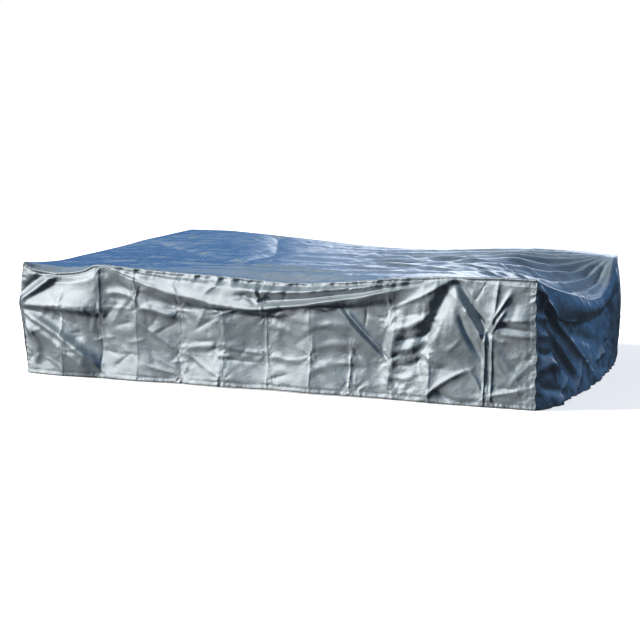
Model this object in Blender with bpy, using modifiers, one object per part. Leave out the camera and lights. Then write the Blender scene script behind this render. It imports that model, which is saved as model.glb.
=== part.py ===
"""A fitted cover for a low garden lounge set: five sewn panels of coated polyester.

The cover is a box cover, and it hangs over a set that stands inside it.  The top panel is
held up near the corners and sags between them.  The side panels hang from the top's edge,
each with its hem turned up along the ground.  The box has its long side along X and its
front at -Y, and stands on Z = 0.  Sizes are in metres.
"""
from dataclasses import astuple, dataclass, fields

import bpy
import numpy as np

LENGTH = 3.26          # the box, along X
WIDTH = 2.13           # along Y
HEIGHT = 0.70          # three of its corners stand this high
RAISED = 0.81          # the back left corner
SHEET = 0.0015         # thickness of a panel
SEAM_GAP = 0.0035      # each panel stops this far short of the seam line that it shares
MIDDLE_X = 0.036       # the plan's middle lies this far right of the box's, for the right hem
MIDDLE_Y = -0.020      # and this far to the front of it, for the front roll
HEM_CLEARANCE = 0.001  # the hem's inner edge keeps this far above the ground

HALF_LENGTH = LENGTH / 2
HALF_WIDTH = WIDTH / 2

SILVER = (0.47, 0.49, 0.52)
SKY_GREY = (0.33, 0.42, 0.55)
SHADE = (0.20, 0.25, 0.33)


# --- tables: a row for each section of a panel or each fold ---------------------------------

@dataclass(frozen=True)
class FrontSection:
    """The front panel at one place along X; `out` is how far a point stands proud."""

    x: float
    seam: float         # height of the seam with the top
    ridge_out: float    # a first, upper roll
    groove_out: float   # the hollow under it
    crest: float        # height of the lower roll's brink
    crest_out: float
    tuck_out: float     # the cloth drawn in under the lower roll
    hem: float          # height of the hem's edge
    hem_out: float


FRONT = (
    #             x      seam   ridge  groove crest  crest  tuck   hem    hem
    #                           out    out           out    out           out
    FrontSection(-1.630, 0.700, 0.000, 0.000, 0.560, 0.000, 0.000, 0.002, 0.000),
    FrontSection(-1.545, 0.658, 0.004, 0.002, 0.560, 0.004, 0.004, 0.002, 0.006),
    FrontSection(-1.390, 0.642, 0.006, 0.004, 0.560, 0.006, 0.006, 0.002, 0.010),
    FrontSection(-1.285, 0.647, 0.008, 0.010, 0.565, 0.014, 0.016, 0.003, 0.012),
    FrontSection(-1.185, 0.665, 0.010, 0.018, 0.580, 0.024, 0.026, 0.004, 0.014),
    FrontSection(-1.105, 0.696, 0.006, 0.020, 0.620, 0.026, 0.030, 0.005, 0.012),
    FrontSection(-1.050, 0.698, 0.004, 0.012, 0.682, 0.016, 0.018, 0.006, 0.008),
    FrontSection(-0.930, 0.691, 0.010, 0.016, 0.643, 0.026, 0.002, 0.008, 0.000),
    FrontSection(-0.760, 0.681, 0.020, 0.028, 0.592, 0.038, 0.000, 0.010, -0.010),
    FrontSection(-0.550, 0.669, 0.028, 0.038, 0.540, 0.050, 0.000, 0.012, -0.018),
    FrontSection(-0.380, 0.663, 0.034, 0.044, 0.515, 0.057, 0.000, 0.014, -0.026),
    FrontSection(-0.250, 0.657, 0.038, 0.047, 0.489, 0.062, -0.002, 0.016, -0.032),
    FrontSection(-0.080, 0.648, 0.042, 0.046, 0.476, 0.065, -0.004, 0.018, -0.036),
    FrontSection(0.010, 0.641, 0.046, 0.030, 0.473, 0.066, -0.004, 0.019, -0.038),
    FrontSection(0.140, 0.635, 0.048, 0.022, 0.490, 0.064, -0.004, 0.020, -0.040),
    FrontSection(0.290, 0.634, 0.046, 0.020, 0.506, 0.060, -0.002, 0.019, -0.038),
    FrontSection(0.410, 0.642, 0.042, 0.018, 0.526, 0.056, 0.000, 0.018, -0.034),
    FrontSection(0.530, 0.652, 0.036, 0.016, 0.545, 0.050, 0.000, 0.016, -0.030),
    FrontSection(0.650, 0.661, 0.028, 0.012, 0.564, 0.042, 0.000, 0.014, -0.024),
    FrontSection(0.770, 0.675, 0.020, 0.008, 0.593, 0.034, 0.002, 0.012, -0.018),
    FrontSection(0.885, 0.685, 0.012, 0.006, 0.617, 0.026, 0.006, 0.009, -0.010),
    FrontSection(1.000, 0.693, 0.006, 0.006, 0.640, 0.018, 0.012, 0.006, -0.002),
    FrontSection(1.110, 0.698, 0.003, 0.007, 0.668, 0.012, 0.014, 0.004, 0.006),
    FrontSection(1.190, 0.700, 0.002, 0.008, 0.680, 0.012, 0.018, 0.003, 0.010),
    FrontSection(1.300, 0.702, 0.002, 0.004, 0.640, 0.006, 0.010, 0.002, 0.008),
    FrontSection(1.440, 0.704, 0.001, 0.002, 0.590, 0.004, 0.006, 0.002, 0.004),
    FrontSection(1.630, 0.700, 0.000, 0.000, 0.560, 0.000, 0.000, 0.002, 0.000),
)


@dataclass(frozen=True)
class RightSection:
    """The right panel at one place along Y: the top's edge droops over a slack roll."""

    y: float
    seam: float
    seam_out: float
    roll: float         # height of the roll's fullest line
    roll_out: float
    tuck: float         # height of the crease under the roll
    tuck_out: float
    hem_out: float


RIGHT = (
    #             y      seam   seam   roll   roll   tuck   tuck   hem
    #                           out           out           out    out
    RightSection(-1.065, 0.700, 0.000, 0.630, 0.000, 0.560, 0.000, 0.000),
    RightSection(-0.930, 0.664, 0.012, 0.590, 0.016, 0.520, 0.006, 0.070),
    RightSection(-0.710, 0.620, 0.022, 0.530, 0.034, 0.450, 0.004, 0.085),
    RightSection(-0.470, 0.579, 0.032, 0.480, 0.052, 0.405, 0.010, 0.100),
    RightSection(-0.220, 0.540, 0.040, 0.450, 0.066, 0.375, 0.014, 0.110),
    RightSection(0.110, 0.493, 0.046, 0.425, 0.072, 0.360, 0.018, 0.104),
    RightSection(0.320, 0.488, 0.046, 0.420, 0.070, 0.365, 0.020, 0.092),
    RightSection(0.490, 0.510, 0.042, 0.435, 0.062, 0.385, 0.022, 0.078),
    RightSection(0.670, 0.558, 0.034, 0.470, 0.050, 0.410, 0.024, 0.064),
    RightSection(0.825, 0.641, 0.022, 0.530, 0.036, 0.450, 0.024, 0.050),
    RightSection(0.960, 0.690, 0.010, 0.600, 0.016, 0.510, 0.014, 0.030),
    RightSection(1.065, 0.700, 0.000, 0.630, 0.000, 0.560, 0.000, 0.000),
)


@dataclass(frozen=True)
class PlainSection:
    """A plain side panel at one place along its length."""

    along: float
    seam: float
    middle_out: float
    hem_out: float


BACK = (
    PlainSection(-1.630, 0.810, 0.000, 0.000),
    PlainSection(-1.360, 0.808, 0.016, 0.014),
    PlainSection(-1.050, 0.790, 0.002, 0.004),
    PlainSection(-0.780, 0.769, 0.018, 0.020),
    PlainSection(-0.490, 0.746, -0.004, 0.002),
    PlainSection(-0.210, 0.722, 0.012, 0.018),
    PlainSection(0.080, 0.709, -0.006, -0.004),
    PlainSection(0.340, 0.707, 0.014, 0.016),
    PlainSection(0.570, 0.715, 0.000, 0.004),
    PlainSection(0.830, 0.727, 0.018, 0.022),
    PlainSection(1.080, 0.733, 0.002, 0.006),
    PlainSection(1.330, 0.726, 0.014, 0.016),
    PlainSection(1.630, 0.700, 0.000, 0.000),
)

LEFT = (
    PlainSection(-1.065, 0.700, 0.000, 0.000),
    PlainSection(-0.900, 0.688, 0.010, 0.014),
    PlainSection(-0.720, 0.684, 0.022, 0.026),
    PlainSection(-0.400, 0.703, 0.004, 0.018),
    PlainSection(-0.130, 0.721, 0.026, 0.034),
    PlainSection(0.120, 0.740, 0.006, 0.020),
    PlainSection(0.370, 0.764, 0.022, 0.030),
    PlainSection(0.630, 0.781, 0.004, 0.014),
    PlainSection(0.900, 0.800, 0.012, 0.016),
    PlainSection(1.065, 0.810, 0.000, 0.000),
)


@dataclass(frozen=True)
class CornerPoint:
    """How far a corner's upright seam strays from the box, outwards along X."""

    z: float
    out: float


FRONT_LEFT_CORNER = (
    CornerPoint(0.00, -0.010),
    CornerPoint(0.10, -0.004),
    CornerPoint(0.18, 0.008),
    CornerPoint(0.27, 0.017),
    CornerPoint(0.38, 0.034),
    CornerPoint(0.44, 0.045),
    CornerPoint(0.52, 0.028),
    CornerPoint(0.59, 0.020),
    CornerPoint(0.70, 0.000),
)

BACK_RIGHT_CORNER = (
    CornerPoint(0.00, 0.002),
    CornerPoint(0.10, 0.012),
    CornerPoint(0.20, 0.028),
    CornerPoint(0.38, 0.036),
    CornerPoint(0.49, 0.030),
    CornerPoint(0.70, 0.000),
)


@dataclass(frozen=True)
class Fold:
    """A straight fold on a side panel, from one end to the other; `out` below 0 is a valley."""

    x0: float
    z0: float
    x1: float
    z1: float
    out: float
    width: float


FRONT_FOLDS = (
    Fold(-1.63, 0.44, -1.38, 0.63, 0.022, 0.045),    # ridge up from the pinched corner
    Fold(-1.63, 0.43, -1.12, 0.42, 0.018, 0.050),    # level ridge from the same pinch
    Fold(-1.62, 0.37, -1.07, 0.03, -0.022, 0.050),   # valley down to the hem
    Fold(-1.58, 0.33, -1.12, 0.26, 0.016, 0.080),    # the bright band above that valley
    Fold(-1.07, 0.69, -1.06, 0.30, 0.018, 0.060),    # bend below the left support
    Fold(1.19, 0.69, 0.93, 0.20, -0.026, 0.070),     # valley down left of the right support
    Fold(1.19, 0.69, 1.36, 0.42, -0.020, 0.045),     # valley down right of it
    Fold(1.17, 0.66, 1.12, 0.20, 0.024, 0.080),      # full fold between the two
    Fold(1.24, 0.52, 1.34, 0.36, 0.022, 0.040),      # standing flap
    Fold(1.36, 0.40, 1.35, 0.03, 0.016, 0.030),      # upright packing crease
    Fold(1.02, 0.03, 1.31, 0.21, 0.012, 0.040),      # slanting crease at the hem
    Fold(0.53, 0.50, 0.79, 0.25, 0.010, 0.030),      # thin slanting crease
    Fold(0.86, 0.45, 0.82, 0.05, 0.016, 0.070),      # slack, crumpled stretch
)

RIGHT_FOLDS = (
    Fold(-1.04, 0.66, -0.86, 0.38, 0.018, 0.060),
    Fold(-1.04, 0.62, -0.40, 0.28, -0.014, 0.060),
    Fold(-1.06, 0.68, -0.11, 0.09, 0.022, 0.060),    # tight fold from the front corner
    Fold(-0.85, 0.02, -0.60, 0.22, 0.020, 0.070),
    Fold(-0.10, 0.02, -0.02, 0.20, 0.016, 0.060),
    Fold(0.55, 0.03, 0.60, 0.33, 0.014, 0.070),
)


@dataclass(frozen=True)
class Ray:
    """A tension fold on the top, running out from the back right corner."""

    angle: float        # degrees from -X towards -Y
    start: float
    end: float
    rise: float         # below 0 is a valley
    width: float        # degrees


TOP_RAYS = (
    Ray(14.0, 0.3, 2.2, 0.010, 5.0),
    Ray(24.0, 0.2, 2.4, -0.010, 5.0),
    Ray(34.0, 0.2, 2.7, 0.012, 5.0),
    Ray(44.0, 0.2, 2.8, -0.012, 5.0),
    Ray(53.0, 0.1, 2.6, 0.014, 4.5),
    Ray(62.0, 0.1, 2.3, -0.014, 4.5),
    Ray(70.0, 0.1, 2.1, 0.014, 4.0),
    Ray(77.0, 0.1, 1.9, -0.018, 4.0),
    Ray(84.0, 0.1, 1.4, 0.012, 4.0),
)


@dataclass(frozen=True)
class PlanPoint:
    """One point, in plan, of the crease that bounds the raised corner of the top."""

    x: float
    y: float


RAISED_CREASE = (
    PlanPoint(-1.52, 0.36),
    PlanPoint(-1.03, 0.01),
    PlanPoint(-0.68, -0.27),
    PlanPoint(-0.42, -0.42),
    PlanPoint(-0.48, 0.18),
    PlanPoint(-0.86, 1.00),
)

CREASE_DEPTH = 0.016
CREASE_WIDTH = 0.14
TOP_SAG = 0.030            # the top's middle below the line of its corners
DROOP_REACH = 0.62         # the right edge's droop dies away this far in
FRONT_REACH = 0.50
SIDE_REACH = 0.90
CORNER_REACH = 0.40


# --- curves ---------------------------------------------------------------------------------

def slopes(xs, ys):
    """Slopes of the smooth curve through points, which never overshoots between them."""
    steps = np.diff(xs, axis=-1)
    rises = np.diff(ys, axis=-1) / steps
    same_way = rises[..., :-1] * rises[..., 1:] > 0
    total = rises[..., :-1] + rises[..., 1:]
    safe = np.where(same_way, total, 1.0)
    inner = np.where(same_way, 2 * rises[..., :-1] * rises[..., 1:] / safe, 0.0)
    return np.concatenate([rises[..., :1], inner, rises[..., -1:]], axis=-1)


def curve(xs, ys, at):
    """Read the smooth curve through the points (xs, ys) at the places `at`."""
    xs = np.asarray(xs, float)
    ys = np.asarray(ys, float)
    bends = slopes(xs, ys)
    at = np.clip(at, xs[0], xs[-1])
    i = np.clip(np.searchsorted(xs, at, side="right") - 1, 0, len(xs) - 2)
    step = xs[i + 1] - xs[i]
    t = (at - xs[i]) / step
    start = ys[i] * (1 + 2 * t) * (1 - t) ** 2 + step * bends[i] * t * (1 - t) ** 2
    end = ys[i + 1] * t**2 * (3 - 2 * t) + step * bends[i + 1] * t**2 * (t - 1)
    return start + end


def column(rows, name, at):
    """Read one named column of a table, smoothly, at places along its first column."""
    names = [field.name for field in fields(rows[0])]
    table = np.array([astuple(row) for row in rows])
    return curve(table[:, 0], table[:, names.index(name)], at)


def profile(knots, heights, at):
    """Read, at each point, the smooth curve through that point's own set of heights."""
    knots = np.asarray(knots, float)
    heights = np.stack(np.broadcast_arrays(*heights), axis=-1)
    bends = slopes(knots, heights)
    i = np.clip(np.searchsorted(knots, at, side="right") - 1, 0, len(knots) - 2)
    step = knots[i + 1] - knots[i]
    t = (at - knots[i]) / step
    low = np.take_along_axis(heights, i[:, None], axis=-1)[:, 0]
    high = np.take_along_axis(heights, i[:, None] + 1, axis=-1)[:, 0]
    low_bend = np.take_along_axis(bends, i[:, None], axis=-1)[:, 0]
    high_bend = np.take_along_axis(bends, i[:, None] + 1, axis=-1)[:, 0]
    start = low * (1 + 2 * t) * (1 - t) ** 2 + step * low_bend * t * (1 - t) ** 2
    end = high * t**2 * (3 - 2 * t) + step * high_bend * t**2 * (t - 1)
    return start + end


def fade(distance, reach):
    """One at no distance, falling smoothly to nothing at the reach."""
    t = np.clip(distance / reach, 0.0, 1.0)
    return (1 - t) ** 2 * (1 + 2 * t)


def fold_height(fold, across, up):
    """How far a straight fold lifts the cloth at points of a side panel."""
    along = np.array([fold.x1 - fold.x0, fold.z1 - fold.z0])
    size = np.hypot(*along)
    along = along / size
    run = ((across - fold.x0) * along[0] + (up - fold.z0) * along[1]) / size
    side = (across - fold.x0) * along[1] - (up - fold.z0) * along[0]
    ends = fade(np.maximum(-run, run - 1) * size + 0.35 * fold.width, fold.width * 1.6)
    taper = np.clip(0.55 + 0.9 * np.sin(np.pi * np.clip(run, 0, 1)), 0, 1)
    return fold.out * ends * taper * np.exp(-((side / (0.6 * fold.width)) ** 2))


# --- the surfaces ---------------------------------------------------------------------------

def front_surface(across, up):
    """The front panel: `across` from left to right and `up` from the hem to the seam, 0 to 1."""
    x = -HALF_LENGTH + across * LENGTH
    seam = column(FRONT, "seam", x)
    crest = column(FRONT, "crest", x)
    hem = column(FRONT, "hem", x)
    knots = (0.0, 0.36, 0.46, 0.60, 0.76, 1.0)
    heights = (
        hem,
        crest - 0.055,
        crest - 0.004,
        crest + 0.28 * (seam - crest),
        crest + 0.62 * (seam - crest),
        seam,
    )
    out = (
        column(FRONT, "hem_out", x),
        column(FRONT, "tuck_out", x),
        column(FRONT, "crest_out", x),
        column(FRONT, "groove_out", x),
        column(FRONT, "ridge_out", x),
        0.0 * x,
    )
    z = profile(knots, heights, up)
    proud = profile(knots, out, up)
    folds = sum(fold_height(fold, x, z) for fold in FRONT_FOLDS)
    edge = np.minimum(HALF_LENGTH - np.abs(x), 0.06) / 0.06
    hang = np.clip((seam - z) / 0.05, 0, 1)
    y = -HALF_WIDTH - proud - folds * edge * hang
    left = curve([p.z for p in FRONT_LEFT_CORNER], [p.out for p in FRONT_LEFT_CORNER], z)
    x = x - left * fade(x + HALF_LENGTH, CORNER_REACH)
    return x, y, z


def right_surface(across, up):
    """The right panel, from front to back."""
    y = -HALF_WIDTH + across * WIDTH
    seam = column(RIGHT, "seam", y)
    roll = column(RIGHT, "roll", y)
    tuck = column(RIGHT, "tuck", y)
    knots = (0.0, 0.30, 0.54, 0.72, 1.0)
    heights = (0.002 + 0.0 * y, 0.5 * tuck, tuck, roll, seam)
    hem_out = column(RIGHT, "hem_out", y)
    tuck_out = column(RIGHT, "tuck_out", y)
    out = (
        hem_out,
        0.45 * hem_out + 0.55 * tuck_out,
        tuck_out,
        column(RIGHT, "roll_out", y),
        column(RIGHT, "seam_out", y),
    )
    z = profile(knots, heights, up)
    proud = profile(knots, out, up)
    folds = sum(fold_height(fold, y, z) for fold in RIGHT_FOLDS)
    edge = np.minimum(HALF_WIDTH - np.abs(y), 0.06) / 0.06
    hang = np.clip((seam - z) / 0.05, 0, 1)
    back = curve([p.z for p in BACK_RIGHT_CORNER], [p.out for p in BACK_RIGHT_CORNER], z)
    x = HALF_LENGTH + proud + folds * edge * hang + back * fade(HALF_WIDTH - y, CORNER_REACH)
    return x, y, z


def back_surface(across, up):
    """The back panel, from right to left as seen from the front."""
    x = HALF_LENGTH - across * LENGTH
    z = profile((0.0, 1.0), (0.002 + 0.0 * x, column(BACK, "seam", x)), up)
    out = (column(BACK, "hem_out", x), column(BACK, "middle_out", x), 0.0 * x)
    y = HALF_WIDTH + profile((0.0, 0.55, 1.0), out, up)
    right = curve([p.z for p in BACK_RIGHT_CORNER], [p.out for p in BACK_RIGHT_CORNER], z)
    x = x + right * fade(HALF_LENGTH - x, CORNER_REACH)
    return x, y, z


def left_surface(across, up):
    """The left panel, from back to front."""
    y = HALF_WIDTH - across * WIDTH
    z = profile((0.0, 1.0), (0.002 + 0.0 * y, column(LEFT, "seam", y)), up)
    out = (column(LEFT, "hem_out", y), column(LEFT, "middle_out", y), 0.0 * y)
    proud = profile((0.0, 0.55, 1.0), out, up)
    front = curve([p.z for p in FRONT_LEFT_CORNER], [p.out for p in FRONT_LEFT_CORNER], z)
    x = -HALF_LENGTH - proud - front * fade(y + HALF_WIDTH, CORNER_REACH)
    return x, y, z


def crease_distance(x, y):
    """Distance in plan from the crease around the raised corner."""
    nearest = np.full(x.shape, np.inf)
    for start, end in zip(RAISED_CREASE, RAISED_CREASE[1:]):
        dx = end.x - start.x
        dy = end.y - start.y
        run = np.clip(((x - start.x) * dx + (y - start.y) * dy) / (dx**2 + dy**2), 0, 1)
        away = np.hypot(x - start.x - run * dx, y - start.y - run * dy)
        nearest = np.minimum(nearest, away)
    return nearest


def ray_height(ray, x, y):
    """How far one tension fold lifts the top."""
    dx = HALF_LENGTH - x
    dy = HALF_WIDTH - y
    reach = np.hypot(dx, dy)
    turn = np.degrees(np.arctan2(dy, dx)) - ray.angle
    run = np.clip((reach - ray.start) / (ray.end - ray.start), 0, 1)
    return ray.rise * np.sin(np.pi * run**0.7) * np.exp(-((turn / (0.55 * ray.width)) ** 2))


def top_surface(across, back):
    """The top panel: `across` from left to right and `back` from the front to the back."""
    x = -HALF_LENGTH + across * LENGTH
    y = -HALF_WIDTH + back * WIDTH
    level = HEIGHT + (RAISED - HEIGHT) * (1 - across) * back
    front = column(FRONT, "seam", x) - HEIGHT
    right = column(RIGHT, "seam", y) - HEIGHT
    rear = column(BACK, "seam", x) - (HEIGHT + (RAISED - HEIGHT) * (1 - across))
    left = column(LEFT, "seam", y) - (HEIGHT + (RAISED - HEIGHT) * back)
    z = (
        level
        + front * fade(y + HALF_WIDTH, FRONT_REACH)
        + right * fade(HALF_LENGTH - x, DROOP_REACH)
        + rear * fade(HALF_WIDTH - y, SIDE_REACH)
        + left * fade(x + HALF_LENGTH, SIDE_REACH)
    )
    inside = np.minimum(HALF_LENGTH - np.abs(x), HALF_WIDTH - np.abs(y))
    held = 1 - fade(inside, 0.12)
    z = z - TOP_SAG * np.sin(np.pi * across) * np.sin(np.pi * back)
    z = z - held * CREASE_DEPTH * fade(crease_distance(x, y), CREASE_WIDTH)
    z = z + held * sum(ray_height(ray, x, y) for ray in TOP_RAYS)
    x = x + column(RIGHT, "seam_out", y) * fade(HALF_LENGTH - x, DROOP_REACH)
    return x, y, z


# --- the panels -----------------------------------------------------------------------------

@dataclass(frozen=True)
class Panel:
    """A panel's name, its surface, how finely it is divided, and its look."""

    name: str
    surface: object
    across: int          # divisions along its seam
    up: int
    cut: tuple           # the lengths that across and up stand for
    on_ground: bool
    colour: tuple


PANELS = (
    Panel("top_panel", top_surface, 34, 22, (LENGTH, WIDTH), False, SKY_GREY),
    Panel("front_panel", front_surface, 56, 14, (LENGTH, HEIGHT), True, SILVER),
    Panel("right_panel", right_surface, 26, 11, (WIDTH, HEIGHT), True, SHADE),
    Panel("back_panel", back_surface, 30, 7, (LENGTH, HEIGHT), True, SILVER),
    Panel("left_panel", left_surface, 20, 7, (WIDTH, HEIGHT), True, SILVER),
)


def coated_polyester(name, colour):
    """Coated woven polyester: a satin, slightly metallic silver-grey."""
    material = bpy.data.materials.new(name)
    material.use_nodes = True
    shader = material.node_tree.nodes["Principled BSDF"]
    shader.inputs["Base Color"].default_value = (*colour, 1.0)
    shader.inputs["Roughness"].default_value = 0.42
    shader.inputs["Metallic"].default_value = 0.25
    material.diffuse_color = (*colour, 1.0)
    return material


def make_panel(panel, collection):
    """Shape a grid to the panel's surface and give it the sheet's thickness."""
    bpy.ops.mesh.primitive_grid_add(
        x_subdivisions=panel.across, y_subdivisions=panel.up, size=1.0
    )
    sheet = bpy.context.object
    sheet.name = panel.name
    sheet.data.name = panel.name
    points = np.empty(len(sheet.data.vertices) * 3)
    sheet.data.vertices.foreach_get("co", points)
    points = points.reshape(-1, 3)
    side = SEAM_GAP / panel.cut[0]
    end = SEAM_GAP / panel.cut[1]
    foot = 0.0 if panel.on_ground else end
    across = side + (points[:, 0] + 0.5) * (1 - 2 * side)
    up = foot + (points[:, 1] + 0.5) * (1 - foot - end)
    x, y, z = panel.surface(across, up)
    shaped = np.column_stack([x - MIDDLE_X, y - MIDDLE_Y, z + HEM_CLEARANCE])
    sheet.data.vertices.foreach_set("co", shaped.ravel())
    sheet.data.update()
    solid = sheet.modifiers.new("thickness", "SOLIDIFY")
    solid.thickness = SHEET
    solid.offset = -1.0
    solid.use_even_offset = False
    sheet.data.materials.append(coated_polyester(panel.name + "_cloth", panel.colour))
    for owner in list(sheet.users_collection):
        owner.objects.unlink(sheet)
    collection.objects.link(sheet)
    return sheet


def main():
    """Clear the scene and make the five panels."""
    for old in list(bpy.data.objects):
        bpy.data.objects.remove(old, do_unlink=True)
    collection = bpy.data.collections.new("patio_furniture_cover")
    bpy.context.scene.collection.children.link(collection)
    for panel in PANELS:
        make_panel(panel, collection)


main()
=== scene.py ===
"""Looks for a fitted patio furniture cover of silver coated polyester taffeta.

Five panels hang from the sewn edge of a sagging top.  Each panel starts as a grid, and its
points are moved onto the same folds that the solid model has, with the finer creases,
puckers and crinkles of thin cloth added by tables and seeded noise.
Sizes are in metres.
"""
import logging
import math
from dataclasses import astuple, dataclass, field, replace
from enum import Enum
from typing import Sequence

import bpy
import numpy as np
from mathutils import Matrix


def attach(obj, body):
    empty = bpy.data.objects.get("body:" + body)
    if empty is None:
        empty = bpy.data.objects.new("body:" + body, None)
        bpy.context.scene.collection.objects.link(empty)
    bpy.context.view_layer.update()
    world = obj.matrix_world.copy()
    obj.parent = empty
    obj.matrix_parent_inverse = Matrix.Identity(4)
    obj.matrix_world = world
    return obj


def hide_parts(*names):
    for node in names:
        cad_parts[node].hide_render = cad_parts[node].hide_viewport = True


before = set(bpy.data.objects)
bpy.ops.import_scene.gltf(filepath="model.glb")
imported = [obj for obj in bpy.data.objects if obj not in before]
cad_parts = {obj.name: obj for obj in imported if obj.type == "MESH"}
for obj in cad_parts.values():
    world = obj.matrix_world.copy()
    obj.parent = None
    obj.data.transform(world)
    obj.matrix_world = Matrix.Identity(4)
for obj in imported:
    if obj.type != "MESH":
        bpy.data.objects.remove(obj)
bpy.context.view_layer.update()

LOG = logging.getLogger("cover")
Array = np.ndarray

LENGTH = 3.26            # the box that the cover is cut to, along X
WIDTH = 2.13             # along Y
HEIGHT = 0.70            # three of its corners stand this high
RAISED = 0.81            # the back left corner
PLAIN_HEIGHT = 0.75      # the back and left panels as cut, halfway between the two
HALF_LENGTH = LENGTH / 2
HALF_WIDTH = WIDTH / 2
MIDDLE_X = 0.036         # the frame's middle lies this far right of the box's
MIDDLE_Y = -0.020
SHEET = 0.0010           # thickness of a visual panel
HEM_DEPTH = 0.025        # height of the turned hem
LIFT = 0.002             # the hem's edge above the ground
PACK_PITCH = 0.27        # distance between the creases of the folded pack
PRESSED = 0.007          # half the width of a pressed crease's line
TOP_EASE = 0.04          # folds die away this near the seam with the top
SIDE_EASE = 0.05         # and this near an upright seam
SEAM_EASE = 0.004        # the seam itself stays on the box's edge
PULL_REACH = 0.40        # how far along a panel a corner's pull is felt
SCALLOP_REACH = 0.10     # and a scalloped seam's small waves
HEM_HEIGHT = 0.002       # the plain hems' edge, before it is lifted


# --- tables: a row for each section, fold or crease -----------------------------------------

ENDING = (0.0, 0.0, 0.0, 0.0)    # a pack crease that only marks where facets end


def make_rows(kind: type, *table: tuple) -> tuple:
    """Return a table's rows, each made a dataclass of one kind."""
    return tuple(kind(*values) for values in table)


@dataclass(frozen=True)
class FrontSection:
    """The front panel at one place along X; an `out` is how far the cloth stands proud."""

    x: float
    seam: float          # height of the seam with the top
    bend: float          # how far in from the seam the top starts to bend down
    ridge_out: float     # an upper roll
    groove_out: float    # the hollow under it
    crest: float         # height of the lower roll's brink
    crest_out: float
    tuck_out: float      # the cloth drawn in under the lower roll
    under: float         # 1 where the brink hangs over the tuck, 0 where it slopes into it
    hem: float           # height of the hem's edge
    hem_out: float


FRONT = make_rows(
    FrontSection,
    # x      seam   bend  ridge  groove crest  crest  tuck   under hem    hem
    #                     out    out           out    out                 out
    (-1.630, 0.700, 0.06, 0.000, 0.000, 0.560, 0.000, 0.000, 0.0, 0.002, 0.000),
    (-1.545, 0.658, 0.07, 0.004, 0.002, 0.560, 0.004, 0.004, 0.0, 0.002, 0.006),
    (-1.390, 0.642, 0.08, 0.006, 0.004, 0.560, 0.006, 0.006, 0.0, 0.002, 0.010),
    (-1.285, 0.647, 0.08, 0.008, 0.010, 0.565, 0.014, 0.016, 0.0, 0.003, 0.012),
    (-1.185, 0.665, 0.08, 0.010, 0.018, 0.580, 0.024, 0.026, 0.0, 0.004, 0.014),
    (-1.105, 0.696, 0.08, 0.006, 0.020, 0.620, 0.026, 0.030, 0.0, 0.005, 0.012),
    (-1.050, 0.698, 0.09, 0.004, 0.012, 0.682, 0.016, 0.018, 0.1, 0.006, 0.016),
    (-0.930, 0.691, 0.10, 0.010, 0.016, 0.643, 0.026, 0.008, 0.2, 0.004, 0.020),
    (-0.760, 0.681, 0.12, 0.020, 0.028, 0.592, 0.038, 0.012, 0.2, 0.005, 0.020),
    (-0.550, 0.669, 0.13, 0.028, 0.038, 0.540, 0.050, 0.012, 0.2, 0.006, 0.020),
    (-0.380, 0.663, 0.14, 0.034, 0.044, 0.515, 0.057, 0.012, 0.4, 0.007, 0.020),
    (-0.250, 0.657, 0.15, 0.038, 0.047, 0.489, 0.062, 0.012, 0.7, 0.008, 0.020),
    (-0.080, 0.648, 0.16, 0.042, 0.046, 0.476, 0.065, 0.012, 1.0, 0.008, 0.020),
    (0.010, 0.641, 0.16, 0.046, 0.030, 0.473, 0.066, 0.012, 1.0, 0.009, 0.020),
    (0.140, 0.635, 0.16, 0.048, 0.022, 0.490, 0.064, 0.012, 1.0, 0.010, 0.020),
    (0.290, 0.634, 0.15, 0.046, 0.020, 0.506, 0.060, 0.012, 1.0, 0.009, 0.020),
    (0.410, 0.642, 0.15, 0.042, 0.018, 0.526, 0.056, 0.012, 0.8, 0.008, 0.020),
    (0.530, 0.652, 0.14, 0.036, 0.016, 0.545, 0.050, 0.012, 0.6, 0.008, 0.020),
    (0.650, 0.661, 0.13, 0.028, 0.012, 0.564, 0.042, 0.012, 0.3, 0.007, 0.020),
    (0.770, 0.675, 0.12, 0.020, 0.008, 0.593, 0.034, 0.012, 0.2, 0.006, 0.020),
    (0.885, 0.685, 0.11, 0.012, 0.006, 0.617, 0.026, 0.008, 0.1, 0.005, 0.020),
    (1.000, 0.693, 0.10, 0.006, 0.006, 0.640, 0.018, 0.012, 0.0, 0.006, 0.016),
    (1.110, 0.698, 0.08, 0.003, 0.007, 0.668, 0.012, 0.014, 0.0, 0.004, 0.006),
    (1.190, 0.700, 0.07, 0.002, 0.008, 0.680, 0.012, 0.018, 0.0, 0.003, 0.010),
    (1.300, 0.702, 0.07, 0.002, 0.004, 0.640, 0.006, 0.010, 0.0, 0.002, 0.008),
    (1.440, 0.704, 0.06, 0.001, 0.002, 0.590, 0.004, 0.006, 0.0, 0.002, 0.004),
    (1.630, 0.700, 0.06, 0.000, 0.000, 0.560, 0.000, 0.000, 0.0, 0.002, 0.000),
)


@dataclass(frozen=True)
class RightSection:
    """The right panel at one place along Y: the top's edge droops over a slack roll."""

    y: float
    seam: float
    seam_out: float
    roll: float          # height of the roll's fullest line
    roll_out: float
    tuck: float          # height of the crease under the roll
    tuck_out: float
    hem_out: float


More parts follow.
